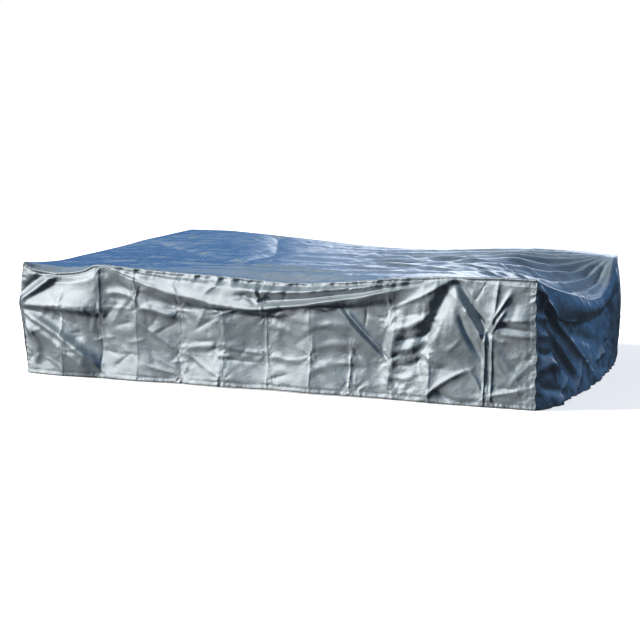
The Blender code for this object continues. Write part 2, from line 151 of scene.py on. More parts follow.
RIGHT = make_rows(
    RightSection,
    # y      seam   seam   roll   roll   tuck   tuck   hem
    #               out           out           out    out
    (-1.065, 0.700, 0.000, 0.630, 0.000, 0.560, 0.000, 0.000),
    (-0.930, 0.664, 0.012, 0.590, 0.016, 0.520, 0.006, 0.070),
    (-0.710, 0.620, 0.022, 0.530, 0.034, 0.450, 0.004, 0.085),
    (-0.470, 0.579, 0.032, 0.480, 0.052, 0.405, 0.010, 0.100),
    (-0.220, 0.540, 0.040, 0.450, 0.066, 0.375, 0.014, 0.110),
    (0.110, 0.493, 0.046, 0.425, 0.072, 0.360, 0.018, 0.104),
    (0.320, 0.488, 0.046, 0.420, 0.070, 0.365, 0.020, 0.092),
    (0.490, 0.510, 0.042, 0.435, 0.062, 0.385, 0.022, 0.078),
    (0.670, 0.558, 0.034, 0.470, 0.050, 0.410, 0.024, 0.064),
    (0.825, 0.641, 0.022, 0.530, 0.036, 0.450, 0.024, 0.050),
    (0.960, 0.690, 0.010, 0.600, 0.016, 0.510, 0.014, 0.030),
    (1.065, 0.700, 0.000, 0.630, 0.000, 0.560, 0.000, 0.000),
)


@dataclass(frozen=True)
class PlainSection:
    """A plain side panel at one place along its length."""

    along: float
    seam: float
    middle_out: float
    hem_out: float


BACK = make_rows(
    PlainSection,
    (-1.630, 0.810, 0.000, 0.000),
    (-1.360, 0.808, 0.016, 0.014),
    (-1.050, 0.790, 0.002, 0.004),
    (-0.780, 0.769, 0.018, 0.020),
    (-0.490, 0.746, -0.004, 0.002),
    (-0.210, 0.722, 0.012, 0.018),
    (0.080, 0.709, -0.006, -0.004),
    (0.340, 0.707, 0.014, 0.016),
    (0.570, 0.715, 0.000, 0.004),
    (0.830, 0.727, 0.018, 0.022),
    (1.080, 0.733, 0.002, 0.006),
    (1.330, 0.726, 0.014, 0.016),
    (1.630, 0.700, 0.000, 0.000),
)

LEFT = make_rows(
    PlainSection,
    (-1.065, 0.700, 0.000, 0.000),
    (-0.900, 0.688, 0.010, 0.014),
    (-0.720, 0.684, 0.022, 0.026),
    (-0.400, 0.703, 0.004, 0.018),
    (-0.130, 0.721, 0.026, 0.034),
    (0.120, 0.740, 0.006, 0.020),
    (0.370, 0.764, 0.022, 0.030),
    (0.630, 0.781, 0.004, 0.014),
    (0.900, 0.800, 0.012, 0.016),
    (1.065, 0.810, 0.000, 0.000),
)


@dataclass(frozen=True)
class CornerPoint:
    """How far a corner's upright seam strays from the box, outwards along X."""

    z: float
    out: float


FRONT_LEFT_CORNER = make_rows(
    CornerPoint,
    (0.00, -0.010), (0.10, -0.004), (0.18, 0.008), (0.27, 0.017), (0.38, 0.034), (0.44, 0.045),
    (0.52, 0.028), (0.59, 0.020), (0.70, 0.000),
)

FRONT_RIGHT_CORNER = make_rows(
    CornerPoint,
    (0.00, 0.004), (0.03, 0.009), (0.07, 0.002), (0.11, 0.008), (0.16, 0.001), (0.20, 0.010),
    (0.24, 0.004), (0.29, 0.012), (0.34, 0.002), (0.42, 0.006), (0.47, 0.001), (0.54, 0.004),
    (0.61, 0.000), (0.66, 0.004), (0.70, 0.000),
)

BACK_RIGHT_CORNER = make_rows(
    CornerPoint,
    (0.00, 0.002), (0.10, 0.012), (0.20, 0.028), (0.38, 0.036), (0.49, 0.030), (0.70, 0.000),
)


class Shape(Enum):
    """What a fold looks like in section."""

    ROUND = "round"      # soft and full
    CREASE = "crease"    # pressed to a line, with straight flanks
    LIP = "lip"          # full on one side, and dropping steeply on its right


ROUND, CREASE, LIP = Shape


@dataclass(frozen=True)
class Fold:
    """A fold on a side panel, from one end to the other; `out` below 0 is a valley."""

    x0: float
    z0: float
    x1: float
    z1: float
    out: float
    width: float
    shape: Shape = Shape.ROUND
    bow: float = 0.0     # how far its middle strays sideways


FRONT_FOLDS = make_rows(
    Fold,
    # the pinched front left corner
    (-1.65, 0.43, -1.38, 0.63, 0.026, 0.040),
    (-1.64, 0.50, -1.44, 0.66, -0.016, 0.040),
    (-1.64, 0.435, -1.09, 0.405, 0.034, 0.070, LIP, -0.010),
    (-1.06, 0.050, -1.63, 0.405, 0.052, 0.120, LIP, 0.012),
    (-1.60, 0.37, -1.05, 0.015, -0.016, 0.040, ROUND, -0.012),
    (-1.61, 0.33, -1.57, 0.06, 0.016, 0.050, LIP, -0.055),
    # below the left support
    (-1.07, 0.69, -1.06, 0.30, 0.012, 0.060, CREASE),
    (-1.01, 0.53, -0.80, 0.49, 0.008, 0.026, ROUND, -0.02),
    (-0.86, 0.62, -0.80, 0.46, 0.008, 0.025, CREASE),
    (-0.80, 0.465, -0.53, 0.405, 0.020, 0.045),
    (-0.80, 0.36, -0.52, 0.19, 0.007, 0.024, CREASE),
    (-0.50, 0.20, -0.26, 0.07, 0.006, 0.020, CREASE),
    (-0.74, 0.10, -0.54, 0.06, 0.006, 0.020, CREASE),
    # the kink in the rolls
    (-0.005, 0.62, 0.020, 0.49, 0.016, 0.020, CREASE),
    (-0.100, 0.545, -0.010, 0.540, -0.014, 0.030),
    # under the middle
    (-0.52, 0.22, -0.12, 0.26, 0.005, 0.030),
    (-0.24, 0.17, 0.00, 0.16, -0.006, 0.020, CREASE),
    (-0.20, 0.24, 0.04, 0.21, 0.006, 0.025, CREASE),
    (0.06, 0.22, 0.28, 0.18, 0.006, 0.030, CREASE, 0.01),
    (0.08, 0.40, 0.22, 0.34, 0.005, 0.030),
    (0.30, 0.36, 0.60, 0.40, 0.005, 0.040, ROUND, -0.02),
    (0.30, 0.24, 0.60, 0.30, 0.005, 0.040, ROUND, -0.02),
    (0.32, 0.12, 0.62, 0.20, 0.005, 0.040, ROUND, -0.02),
    (0.535, 0.515, 0.80, 0.245, 0.019, 0.013, CREASE, 0.008),
    (0.520, 0.488, 0.783, 0.222, 0.016, 0.013, CREASE, 0.008),
    (0.528, 0.502, 0.792, 0.234, -0.016, 0.016, ROUND, 0.008),
    # slack stretch left of the right support
    (0.86, 0.46, 0.80, 0.04, 0.020, 0.060, ROUND, 0.01),
    (0.84, 0.40, 1.06, 0.50, 0.012, 0.035, ROUND, 0.02),
    (0.86, 0.34, 1.08, 0.42, -0.009, 0.025, ROUND, 0.02),
    (0.84, 0.28, 1.04, 0.36, 0.010, 0.035, ROUND, 0.02),
    (0.86, 0.20, 1.00, 0.25, -0.008, 0.025, ROUND, 0.02),
    (0.82, 0.13, 0.98, 0.17, 0.009, 0.030, ROUND, 0.02),
    # the fan below the right support
    (1.18, 0.69, 0.84, 0.52, 0.012, 0.022, CREASE, -0.01),
    (1.185, 0.69, 0.97, 0.20, -0.030, 0.070, ROUND, 0.02),
    (1.185, 0.695, 1.365, 0.415, -0.030, 0.036),
    (1.345, 0.360, 1.240, 0.540, 0.026, 0.034, CREASE, 0.010),
    (1.215, 0.50, 1.335, 0.27, -0.016, 0.028, ROUND, 0.012),
    # the pressed cross right of it
    (1.36, 0.40, 1.35, 0.03, 0.012, 0.016, CREASE),
    (1.398, 0.38, 1.390, 0.04, 0.010, 0.014, CREASE),
    (1.37, 0.42, 1.50, 0.63, 0.016, 0.018, CREASE),
    (1.395, 0.405, 1.47, 0.53, 0.012, 0.014, CREASE),
    (1.40, 0.43, 1.43, 0.69, 0.012, 0.024, CREASE),
    (1.40, 0.47, 1.60, 0.48, 0.012, 0.020, CREASE),
    (1.44, 0.44, 1.61, 0.42, -0.010, 0.016),
    (1.44, 0.40, 1.61, 0.39, 0.010, 0.016, CREASE),
    (1.38, 0.39, 1.48, 0.36, 0.010, 0.022, CREASE, 0.01),
    (1.38, 0.36, 1.58, 0.12, 0.010, 0.040, ROUND, 0.01),
    (1.40, 0.28, 1.54, 0.09, 0.008, 0.030, ROUND, 0.01),
    (1.37, 0.06, 1.58, 0.11, 0.010, 0.022, CREASE),
    (1.02, 0.03, 1.28, 0.20, 0.014, 0.024, CREASE, -0.02),
    (1.26, 0.20, 1.34, 0.08, 0.012, 0.024, CREASE, -0.01),
    (1.08, 0.08, 1.30, 0.02, -0.010, 0.030, ROUND, 0.03),
)


@dataclass(frozen=True)
class PackCrease:
    """A crease that the folded pack left, upright at `at` or level at height `at`.

    The cloth stands `lift` out along it and is flat from one crease to the next; the pressed
    line itself is a small ridge, `out` high.
    """

    at: float
    lift: float
    start: float
    end: float
    out: float


FRONT_UPRIGHT = make_rows(
    PackCrease,
    (-1.630, 0.000, 0.02, 0.00, 0.000),
    (-1.340, 0.014, 0.02, 0.50, 0.003),
    (-1.065, -0.014, 0.02, 0.40, -0.004),
    (-0.810, 0.008, 0.02, 0.56, 0.003),
    (-0.520, -0.016, 0.01, 0.50, 0.005),
    (-0.235, 0.012, 0.01, 0.46, -0.005),
    (0.055, -0.016, 0.01, 0.47, 0.006),
    (0.330, 0.010, 0.01, 0.48, 0.003),
    (0.575, -0.006, 0.01, 0.50, 0.006),
    (0.805, -0.018, 0.01, 0.54, 0.006),
    (1.045, 0.014, 0.01, 0.40, 0.003),
    (1.350, 0.000, 0.02, 0.00, 0.000),
    (1.630, 0.000, 0.02, 0.00, 0.000),
)

# more places where the front is folded finely
FRONT_BUSY = (0.62, 0.68, 0.74, 1.22, 1.27, 1.32, 1.40, 1.45)

FRONT_LEVEL = make_rows(
    PackCrease,
    (0.000, 0.004, 0.00, 0.00, 0.000),
    (0.190, -0.006, -0.50, 0.80, 0.004),
    (0.440, 0.007, -1.40, -0.25, 0.004),
    (0.640, 0.000, 0.00, 0.00, 0.000),
)

PLAIN_LEVEL = make_rows(
    PackCrease,
    (0.000, 0.004, 0.00, 0.00, 0.000),
    (0.200, -0.006, -1.60, 1.60, 0.003),
    (0.450, 0.007, -1.60, 1.60, -0.003),
    (0.660, 0.000, 0.00, 0.00, 0.000),
)


@dataclass(frozen=True)
class Knot:
    """A place where creases meet and the cloth is crushed, `size` across."""

    x: float
    z: float
    size: float


FRONT_KNOTS = make_rows(
    Knot,
    (-1.34, 0.45, 0.05), (-1.07, 0.42, 0.06), (-1.33, 0.15, 0.05), (-0.80, 0.55, 0.06),
    (-0.52, 0.45, 0.06), (-0.52, 0.20, 0.06), (-0.50, 0.05, 0.08), (-0.235, 0.20, 0.05),
    (-0.22, 0.05, 0.06), (0.03, 0.53, 0.04), (0.055, 0.44, 0.06), (0.05, 0.21, 0.08),
    (0.10, 0.03, 0.07), (0.33, 0.22, 0.05), (0.575, 0.24, 0.05), (0.60, 0.04, 0.08),
    (0.81, 0.44, 0.08), (0.80, 0.22, 0.07), (0.86, 0.05, 0.09), (1.04, 0.46, 0.07),
    (1.00, 0.26, 0.07), (1.36, 0.41, 0.07), (1.37, 0.07, 0.07), (1.56, 0.28, 0.06),
    (1.58, 0.10, 0.07), (1.60, 0.66, 0.05),
)

RIGHT_FOLDS = make_rows(
    Fold,
    (-0.62, 0.425, -0.28, 0.400, 0.014, 0.022, CREASE),
    (-1.00, 0.52, -0.50, 0.10, -0.026, 0.070),
    (-0.72, 0.36, -0.40, 0.10, 0.016, 0.050),
    (-0.98, 0.30, -0.82, 0.12, 0.018, 0.030, CREASE),
    (-0.40, 0.34, 0.20, 0.22, -0.012, 0.060),
    (-0.24, 0.385, 0.12, 0.385, 0.012, 0.020, CREASE),
    (-1.04, 0.66, -0.86, 0.38, 0.022, 0.050),
    (-1.04, 0.60, -0.60, 0.34, -0.018, 0.060),
    (-1.06, 0.65, -0.11, 0.09, 0.040, 0.050, CREASE),
    (-1.06, 0.50, -0.84, 0.46, 0.016, 0.030),
    (-1.06, 0.40, -0.86, 0.38, 0.016, 0.028),
    (-1.06, 0.33, -0.84, 0.28, -0.020, 0.030, ROUND, 0.02),
    (-1.05, 0.22, -0.76, 0.19, 0.024, 0.050, ROUND, -0.03),
    (-1.04, 0.12, -0.72, 0.05, -0.020, 0.040),
    (-0.85, 0.02, -0.62, 0.14, 0.024, 0.040, CREASE),
    (-0.50, 0.02, -0.30, 0.16, 0.020, 0.050, CREASE),
    (-0.10, 0.02, -0.02, 0.18, 0.018, 0.050),
    (0.10, 0.12, 0.42, 0.14, 0.018, 0.030, CREASE),
    (0.22, 0.02, 0.34, 0.24, -0.014, 0.060),
    (0.55, 0.03, 0.60, 0.33, 0.018, 0.060),
    (0.78, 0.05, 0.74, 0.44, -0.018, 0.060),
    (0.92, 0.30, 0.88, 0.58, 0.014, 0.040, CREASE),
)


@dataclass(frozen=True)
class Ray:
    """A tension fold on the top, running out from the back right corner."""

    angle: float         # degrees from -X towards -Y
    start: float
    end: float
    rise: float          # below 0 is a valley
    width: float         # degrees


TOP_RAYS = make_rows(
    Ray,
    (8.0, 0.3, 1.9, 0.011, 4.0), (14.0, 0.3, 2.2, -0.012, 4.0), (21.0, 0.2, 2.4, 0.013, 4.0),
    (27.0, 0.2, 2.5, -0.015, 3.5), (33.0, 0.2, 2.7, 0.017, 3.5), (38.5, 0.2, 2.8, -0.017, 3.0),
    (43.5, 0.2, 2.9, 0.018, 3.0), (48.5, 0.1, 2.7, -0.018, 3.0), (53.5, 0.1, 2.6, 0.019, 3.0),
    (58.5, 0.1, 2.4, -0.019, 2.8), (63.5, 0.1, 2.3, 0.019, 2.8), (68.5, 0.1, 2.2, -0.019, 2.8),
    (73.5, 0.1, 2.1, 0.021, 2.6), (78.0, 0.1, 1.9, -0.030, 2.6), (83.0, 0.1, 1.5, 0.019, 2.4),
)


@dataclass(frozen=True)
class PlanPoint:
    """One point, in plan, of the crease that bounds the raised corner of the top."""

    x: float
    y: float


RAISED_CREASE = make_rows(
    PlanPoint,
    (-1.52, 0.36), (-1.03, 0.01), (-0.68, -0.27), (-0.42, -0.42), (-0.48, 0.18), (-0.86, 1.00),
)

TOP_FOLDS = make_rows(
    Fold,
    (-0.50, -0.87, 1.20, -0.84, 0.019, 0.060, LIP, -0.02),
    (-0.35, -0.72, 1.45, -0.42, 0.019, 0.070, LIP, 0.02),
    (0.05, -0.58, 1.50, -0.05, 0.018, 0.070, LIP, 0.02),
    (-0.15, -0.33, 1.45, 0.32, 0.018, 0.080, LIP),
    (0.15, -0.05, 1.45, 0.55, 0.017, 0.080, LIP, 0.02),
    (0.40, 0.22, 1.45, 0.74, 0.015, 0.080, LIP),
    (-1.35, -0.62, -0.30, -0.78, 0.013, 0.080, LIP, 0.02),
    (-1.20, -0.38, -0.60, -0.58, 0.012, 0.080, LIP),
    (-0.30, 0.45, 1.00, 0.62, 0.013, 0.090, LIP),
)


# --- curves and noise -----------------------------------------------------------------------

def slopes(xs: Array, ys: Array) -> Array:
    """Work out slopes for a smooth curve that never overshoots its points.

    Args:
        xs: places of the points.
        ys: values there, with any number of leading axes.

    Returns:
        The slope at each point.
    """
    rises = np.diff(ys, axis=-1) / np.diff(xs, axis=-1)
    same_way = rises[..., :-1] * rises[..., 1:] > 0
    total = np.where(same_way, rises[..., :-1] + rises[..., 1:], 1.0)
    inner = np.where(same_way, 2 * rises[..., :-1] * rises[..., 1:] / total, 0.0)
    return np.concatenate([rises[..., :1], inner, rises[..., -1:]], axis=-1)


def blend_span(
    t: Array, step: Array, ends: tuple[Array, Array], bends: tuple[Array, Array]
) -> Array:
    """Read a cubic span.

    Args:
        t: places along the span, 0 to 1.
        step: the span's length.
        ends: values at its two ends.
        bends: slopes at its two ends.

    Returns:
        The values at t.
    """
    start = ends[0] * (1 + 2 * t) * (1 - t) ** 2 + step * bends[0] * t * (1 - t) ** 2
    return start + ends[1] * t**2 * (3 - 2 * t) + step * bends[1] * t**2 * (t - 1)


def curve(xs: Sequence[float], ys: Sequence[float], at: Array) -> Array:
    """Read the smooth curve through the points (xs, ys).

    Args:
        xs: places of the points, rising.
        ys: their values.
        at: places to read.

    Returns:
        The curve's values there.
    """
    places = np.asarray(xs, float)
    values = np.asarray(ys, float)
    bends = slopes(places, values)
    at = np.clip(at, places[0], places[-1])
    i = np.clip(np.searchsorted(places, at, side="right") - 1, 0, len(places) - 2)
    step = places[i + 1] - places[i]
    t = (at - places[i]) / step
    return blend_span(t, step, (values[i], values[i + 1]), (bends[i], bends[i + 1]))


def read_rows(rows: Sequence[object], at: Array) -> object:
    """Read every column of a table, smoothly, at places along its first column.

    Args:
        rows: the table's rows, all of one dataclass.
        at: places along the first column.

    Returns:
        A row of the same dataclass, with an array of values in each field.
    """
    table = np.array([astuple(row) for row in rows], float)
    return type(rows[0])(*(curve(table[:, 0], values, at) for values in table.T))


def profile(knots: Sequence[float], values: Sequence[Array], at: Array) -> Array:
    """Read, at each point, the smooth curve through that point's own set of values.

    Args:
        knots: places of the values, rising, the same for every point.
        values: one array of values for each knot.
        at: the place to read for each point.

    Returns:
        The value at each point.
    """
    places = np.asarray(knots, float)
    stack = np.stack(np.broadcast_arrays(*values), axis=-1)
    bends = slopes(places, stack)
    i = np.clip(np.searchsorted(places, at, side="right") - 1, 0, len(places) - 2)
    step = places[i + 1] - places[i]
    low = i[:, None]
    high = low + 1
    ends = (np.take_along_axis(stack, low, -1)[:, 0], np.take_along_axis(stack, high, -1)[:, 0])
    ways = (np.take_along_axis(bends, low, -1)[:, 0], np.take_along_axis(bends, high, -1)[:, 0])
    return blend_span((at - places[i]) / step, step, ends, ways)


def fade(distance: Array, reach: float | Array) -> Array:
    """Return one at no distance, falling smoothly to nothing at the reach."""
    t = np.clip(distance / reach, 0.0, 1.0)
    return (1 - t) ** 2 * (1 + 2 * t)


def ease(distance: Array, reach: float) -> Array:
    """Return nothing at no distance, rising evenly to one at the reach."""
    return np.clip(distance / reach, 0, 1)


@dataclass(frozen=True)
class Noise:
    """Seeded noise over the plane, smooth or in flat facets."""

    seed: int
    size: int = 256

    def table(self, count: int) -> Array:
        """Return the seeded numbers, 0 to 1, that the noise is made from."""
        return np.random.default_rng(self.seed).random((count, self.size, self.size))

    def smooth(self, x: Array, y: Array) -> Array:
        """Read smooth noise of about one bump to a unit.

        Args:
            x: first coordinate, in bumps.
            y: second coordinate.

        Returns:
            Values of about -0.7 to 0.7.
        """
        turn = self.table(1)[0] * 2 * math.pi
        i = np.floor(x).astype(int)
        j = np.floor(y).astype(int)
        fx = x - i
        fy = y - j
        u = fx**3 * (fx * (fx * 6 - 15) + 10)
        v = fy**3 * (fy * (fy * 6 - 15) + 10)

        def corner(di: int, dj: int) -> Array:
            """Return the pull of one of the cell's corners."""
            angle = turn[(i + di) % self.size, (j + dj) % self.size]
            return np.cos(angle) * (fx - di) + np.sin(angle) * (fy - dj)

        low = corner(0, 0) * (1 - u) + corner(1, 0) * u
        high = corner(0, 1) * (1 - u) + corner(1, 1) * u
        return low * (1 - v) + high * v

    def facets(self, x: Array, y: Array) -> Array:
        """Read noise that is flat within bent triangles, as crumpled cloth is.

        Args:
            x: first coordinate, in facets.
            y: second coordinate.

        Returns:
            Values of -1 to 1.
        """
        warp = Noise(self.seed + 1)
        bend = Noise(self.seed + 2)
        x, y = x + 0.9 * warp.smooth(0.7 * x, 0.7 * y), y + 0.9 * bend.smooth(0.7 * x, 0.7 * y)
        x, y = x - 0.577 * y, 1.155 * y
        height = self.table(1)[0] * 2 - 1
        i = np.floor(x).astype(int)
        j = np.floor(y).astype(int)
        fx = x - i
        fy = y - j

        def post(di: int, dj: int) -> Array:
            """Return the height at one of the cell's corners."""
            return height[(i + di) % self.size, (j + dj) % self.size]

        low = post(0, 0) * (1 - fx - fy) + post(1, 0) * fx + post(0, 1) * fy
        high = post(1, 1) * (fx + fy - 1) + post(1, 0) * (1 - fy) + post(0, 1) * (1 - fx)
        return np.where(fx + fy < 1, low, high)


# --- folds ----------------------------------------------------------------------------------

def section(shape: Shape, side: Array, width: float) -> Array:
    """Read a fold's section.

    Args:
        shape: the kind of fold.
        side: distance from its line, to its right.
        width: its half width.

    Returns:
        Its height there, 0 to 1.
    """
    if shape is Shape.CREASE:
        return np.exp(-np.abs(side) / (0.55 * width))
    if shape is Shape.LIP:
        return np.exp(-((side / np.where(side > 0, 0.32 * width, 0.9 * width)) ** 2))
    return np.exp(-((side / (0.6 * width)) ** 2))


def fold_height(fold: Fold, across: Array, up: Array) -> Array:
    """Work out how far a fold lifts the cloth.

    Args:
        fold: the fold.
        across: places along the panel.
        up: heights.

    Returns:
        The lift at each place.
    """
    size = math.hypot(fold.x1 - fold.x0, fold.z1 - fold.z0)
    way_x = (fold.x1 - fold.x0) / size
    way_z = (fold.z1 - fold.z0) / size
    run = ((across - fold.x0) * way_x + (up - fold.z0) * way_z) / size
    side = (across - fold.x0) * way_z - (up - fold.z0) * way_x
    inside = np.clip(run, 0, 1)
    side = side - fold.bow * 4 * inside * (1 - inside)
    past = np.maximum(np.maximum(-run, run - 1), 0) * size
    ends = fade(past, 1.5 * fold.width)
    taper = np.clip(0.35 + 1.1 * np.sin(np.pi * inside), 0, 1)
    return fold.out * ends * taper * section(fold.shape, side, fold.width)


def facet_height(rows: Sequence[PackCrease], line: Array, slack: Array) -> Array:
    """Work out the flat facets between pack creases.

    Args:
        rows: the creases, in order.
        line: the coordinate across them.
        slack: how strongly the facets stand, at each place.

    Returns:
        The lift at each place.
    """
    return slack * np.interp(line, [row.at for row in rows], [row.lift for row in rows])


def crease_height(crease: PackCrease, line: Array, along: Array, wander: Array) -> Array:
    """Work out the small ridge pressed along a pack crease.

    Args:
        crease: the crease.
        line: the coordinate across it.
        along: the coordinate along it.
        wander: how far its line strays, in metres.

    Returns:
        The lift at each place.
    """
    side = line - crease.at - wander
    past = np.maximum(np.maximum(crease.start - along, along - crease.end), 0)
    broken = np.clip(0.55 + 1.3 * Noise(17).smooth(along / 0.09, 0.0 * line + crease.at), 0, 1.2)
    return crease.out * broken * fade(past, 0.05) * np.exp(-np.abs(side) / PRESSED)


def pressed_lines(
    rows: Sequence[PackCrease], line: Array, along: Array, wander: Array
) -> Array:
    """Add up the small ridges of several parallel pack creases.

    Args:
        rows: the creases.
        line: the coordinate across them.
        along: the coordinate along them.
        wander: how far their lines stray, in metres.

    Returns:
        The lift at each place.
    """
    return sum(crease_height(row, line, along, wander) for row in rows)


def pack_rows(places: Array, low: float, high: float, out: float) -> list[PackCrease]:
    """Return pack creases that are pressed to one side and the other by turns."""
    return [PackCrease(at, 0.0, low, high, out if i % 2 else -out) for i, at in enumerate(places)]


def stars(rows: Sequence[Knot], across: Array, up: Array, seed: int) -> Array:
    """Work out the small folds that run out from each knot.

    Args:
        rows: the knots.
        across: places along the panel.
        up: places up it.
        seed: which set of folds.

    Returns:
        Heights of about -1 to 1.
    """
    total = np.zeros_like(across)
    for i, row in enumerate(rows):
        reach = np.hypot(across - row.x, up - row.z)
        turn = np.arctan2(up - row.z, across - row.x)
        spokes = Noise(seed).smooth(2.2 * np.cos(turn) + 7.3 * i, 2.2 * np.sin(turn) + 3.1)
        ring = np.clip(reach / (0.5 * row.size), 0, 1) * fade(reach, 3.2 * row.size)
        total = total + 1.8 * spokes * ring
    return total


def ripples(across: Array, up: Array, seed: int) -> Array:
    """Work out soft slanted ripples.

    Args:
        across: places along the panel.
        up: places up it.
        seed: which set of ripples.

    Returns:
        Heights of about -1 to 1.
    """
    patch = np.clip(0.5 + 1.5 * Noise(seed + 1).smooth(across / 0.3, up / 0.25), 0, 1.3)
    one = Noise(seed).smooth((across + 0.8 * up) / 0.30, (across - 1.2 * up) / 0.085)
    two = Noise(seed + 2).smooth((across - 0.9 * up) / 0.26, (across + 1.1 * up) / 0.075)
    return 1.3 * patch * one + 1.3 * (1.2 - patch) * two


def knot_weight(rows: Sequence[Knot], across: Array, up: Array) -> Array:
    """Work out how crushed the cloth is near its knots.

    Args:
        rows: the knots.
        across: places along the panel.
        up: places up it.

    Returns:
        0 where it is smooth, to 1 in a knot.
    """
    total = np.zeros_like(across)
    for row in rows:
        total = total + fade(np.hypot(across - row.x, up - row.z), 1.6 * row.size)
    return np.clip(total, 0, 1)


def crowd(share: Array, places: Sequence[float], half: float, reach: float) -> Array:
    """Spread a grid's columns so that they crowd near the creases.

    Args:
        share: column places, 0 to 1.
        places: where the creases are.
        half: half the panel's length.
        reach: how far the crowding extends to each side.

    Returns:
        Places along the panel, from -half to half.
    """
    fine = np.linspace(-half, half, 4001)
    weight = np.ones_like(fine)
    for place in places:
        weight = weight + 2.2 * np.exp(-(((fine - place) / reach) ** 2))
    total = np.cumsum(weight)
    total = (total - total[0]) / (total[-1] - total[0])
    return np.interp(share, total, fine)


def small_creases(across: Array, up: Array, count: int, seed: int) -> Array:
    """Scatter short straight creases over a panel.

    Args:
        across: places along the panel.
        up: places up it.
        count: how many creases.
        seed: which set of creases.

    Returns:
        The lift at each place.
    """
    draw = np.random.default_rng(seed)
    low_x, high_x = across.min(), across.max()
    low_z, high_z = up.min(), up.max()
    total = np.zeros_like(across)
    for _ in range(count):
        x = draw.uniform(low_x, high_x)
        z = draw.uniform(low_z, high_z)
        turn = draw.choice((0.0, 0.5, 0.25, 0.75)) * math.pi + draw.normal(0, 0.22)
        reach = draw.uniform(0.03, 0.09)
        out = draw.choice((-1, 1)) * draw.uniform(0.003, 0.006)
        dx = reach * math.cos(turn)
        dz = reach * math.sin(turn)
        near = np.hypot(across - x, up - z) < reach + 0.04
        fold = Fold(x - dx, z - dz, x + dx, z + dz, out, 0.018, Shape.CREASE, draw.normal(0, 0.004))
        total[near] += fold_height(fold, across[near], up[near])
    return total


def corner_out(rows: Sequence[CornerPoint], z: Array) -> Array:
    """Return how far a corner's upright seam strays outwards at heights z."""
    return curve([row.z for row in rows], [row.out for row in rows], z)


def puckers(along: Array, away: Array, reach: float, pitch: float, seed: int) -> Array:
    """Work out the small gathers that a seam's thread pulls into thin cloth.

    Args:
        along: distance along the seam.
        away: distance from it.
        reach: how far the gathers run.
        pitch: their mean spacing.
        seed: which set of gathers.

    Returns:
        Heights of about -1 to 1, nothing beyond the reach.
    """
    slant = along + 0.35 * away
    wide = Noise(seed).smooth(slant / pitch, 0.3 * away / pitch + 7.0)
    fine = Noise(seed + 1).smooth(2.1 * slant / pitch, 0.5 * away / pitch + 3.0)
    patchy = np.clip(0.75 + 1.2 * Noise(seed + 2).smooth(along / 0.22, 0.0 * along), 0.15, 1.5)
    return (1.6 * wide + 0.8 * fine) * patchy * fade(away, reach)


def crinkle(across: Array, up: Array, seed: int) -> Array:
    """Work out the fine creases of thin coated cloth, about one unit high.

    Args:
        across: places along the panel, in metres.
        up: places up it.
        seed: which set of creases.

    Returns:
        Heights of about -1 to 1.
    """
    large = Noise(seed).facets(across / 0.15, up / 0.13)
    small = Noise(seed + 10).facets(across / 0.055, up / 0.048)
    lines = 1 - 3 * np.abs(Noise(seed + 20).smooth(across / 0.11, up / 0.10))
    return large + 0.45 * small + 0.25 * np.clip(lines, -1, 1)


# --- finishes -------------------------------------------------------------------------------

def linear(code: str) -> tuple[float, float, float, float]:
    """Turn an sRGB colour into a linear one.

    Args:
        code: the colour in hex, such as "#808080".

    Returns:
        Linear red, green and blue, and an alpha of one.
    """
    parts = [int(code[i:i + 2], 16) / 255 for i in (1, 3, 5)]
    bright = [c / 12.92 if c <= 0.04045 else ((c + 0.055) / 1.055) ** 2.4 for c in parts]
    return (*bright, 1.0)


def add_node(
    tree: bpy.types.NodeTree,
    kind: str,
    settings: dict[str, object] | None = None,
    inputs: dict[str, object] | None = None,
) -> bpy.types.Node:
    """Add a shader node.

    Args:
        tree: the tree it joins.
        kind: the node's type name.
        settings: its properties.
        inputs: for each input, a value or the output socket that feeds it.

    Returns:
        The new node.
    """
    node = tree.nodes.new(kind)
    for name, value in (settings or {}).items():
        setattr(node, name, value)
    for name, value in (inputs or {}).items():
        socket = node.inputs[int(name)] if name.isdigit() else node.inputs[name]
        if isinstance(value, bpy.types.NodeSocket):
            tree.links.new(value, socket)
        else:
            socket.default_value = value
    return node


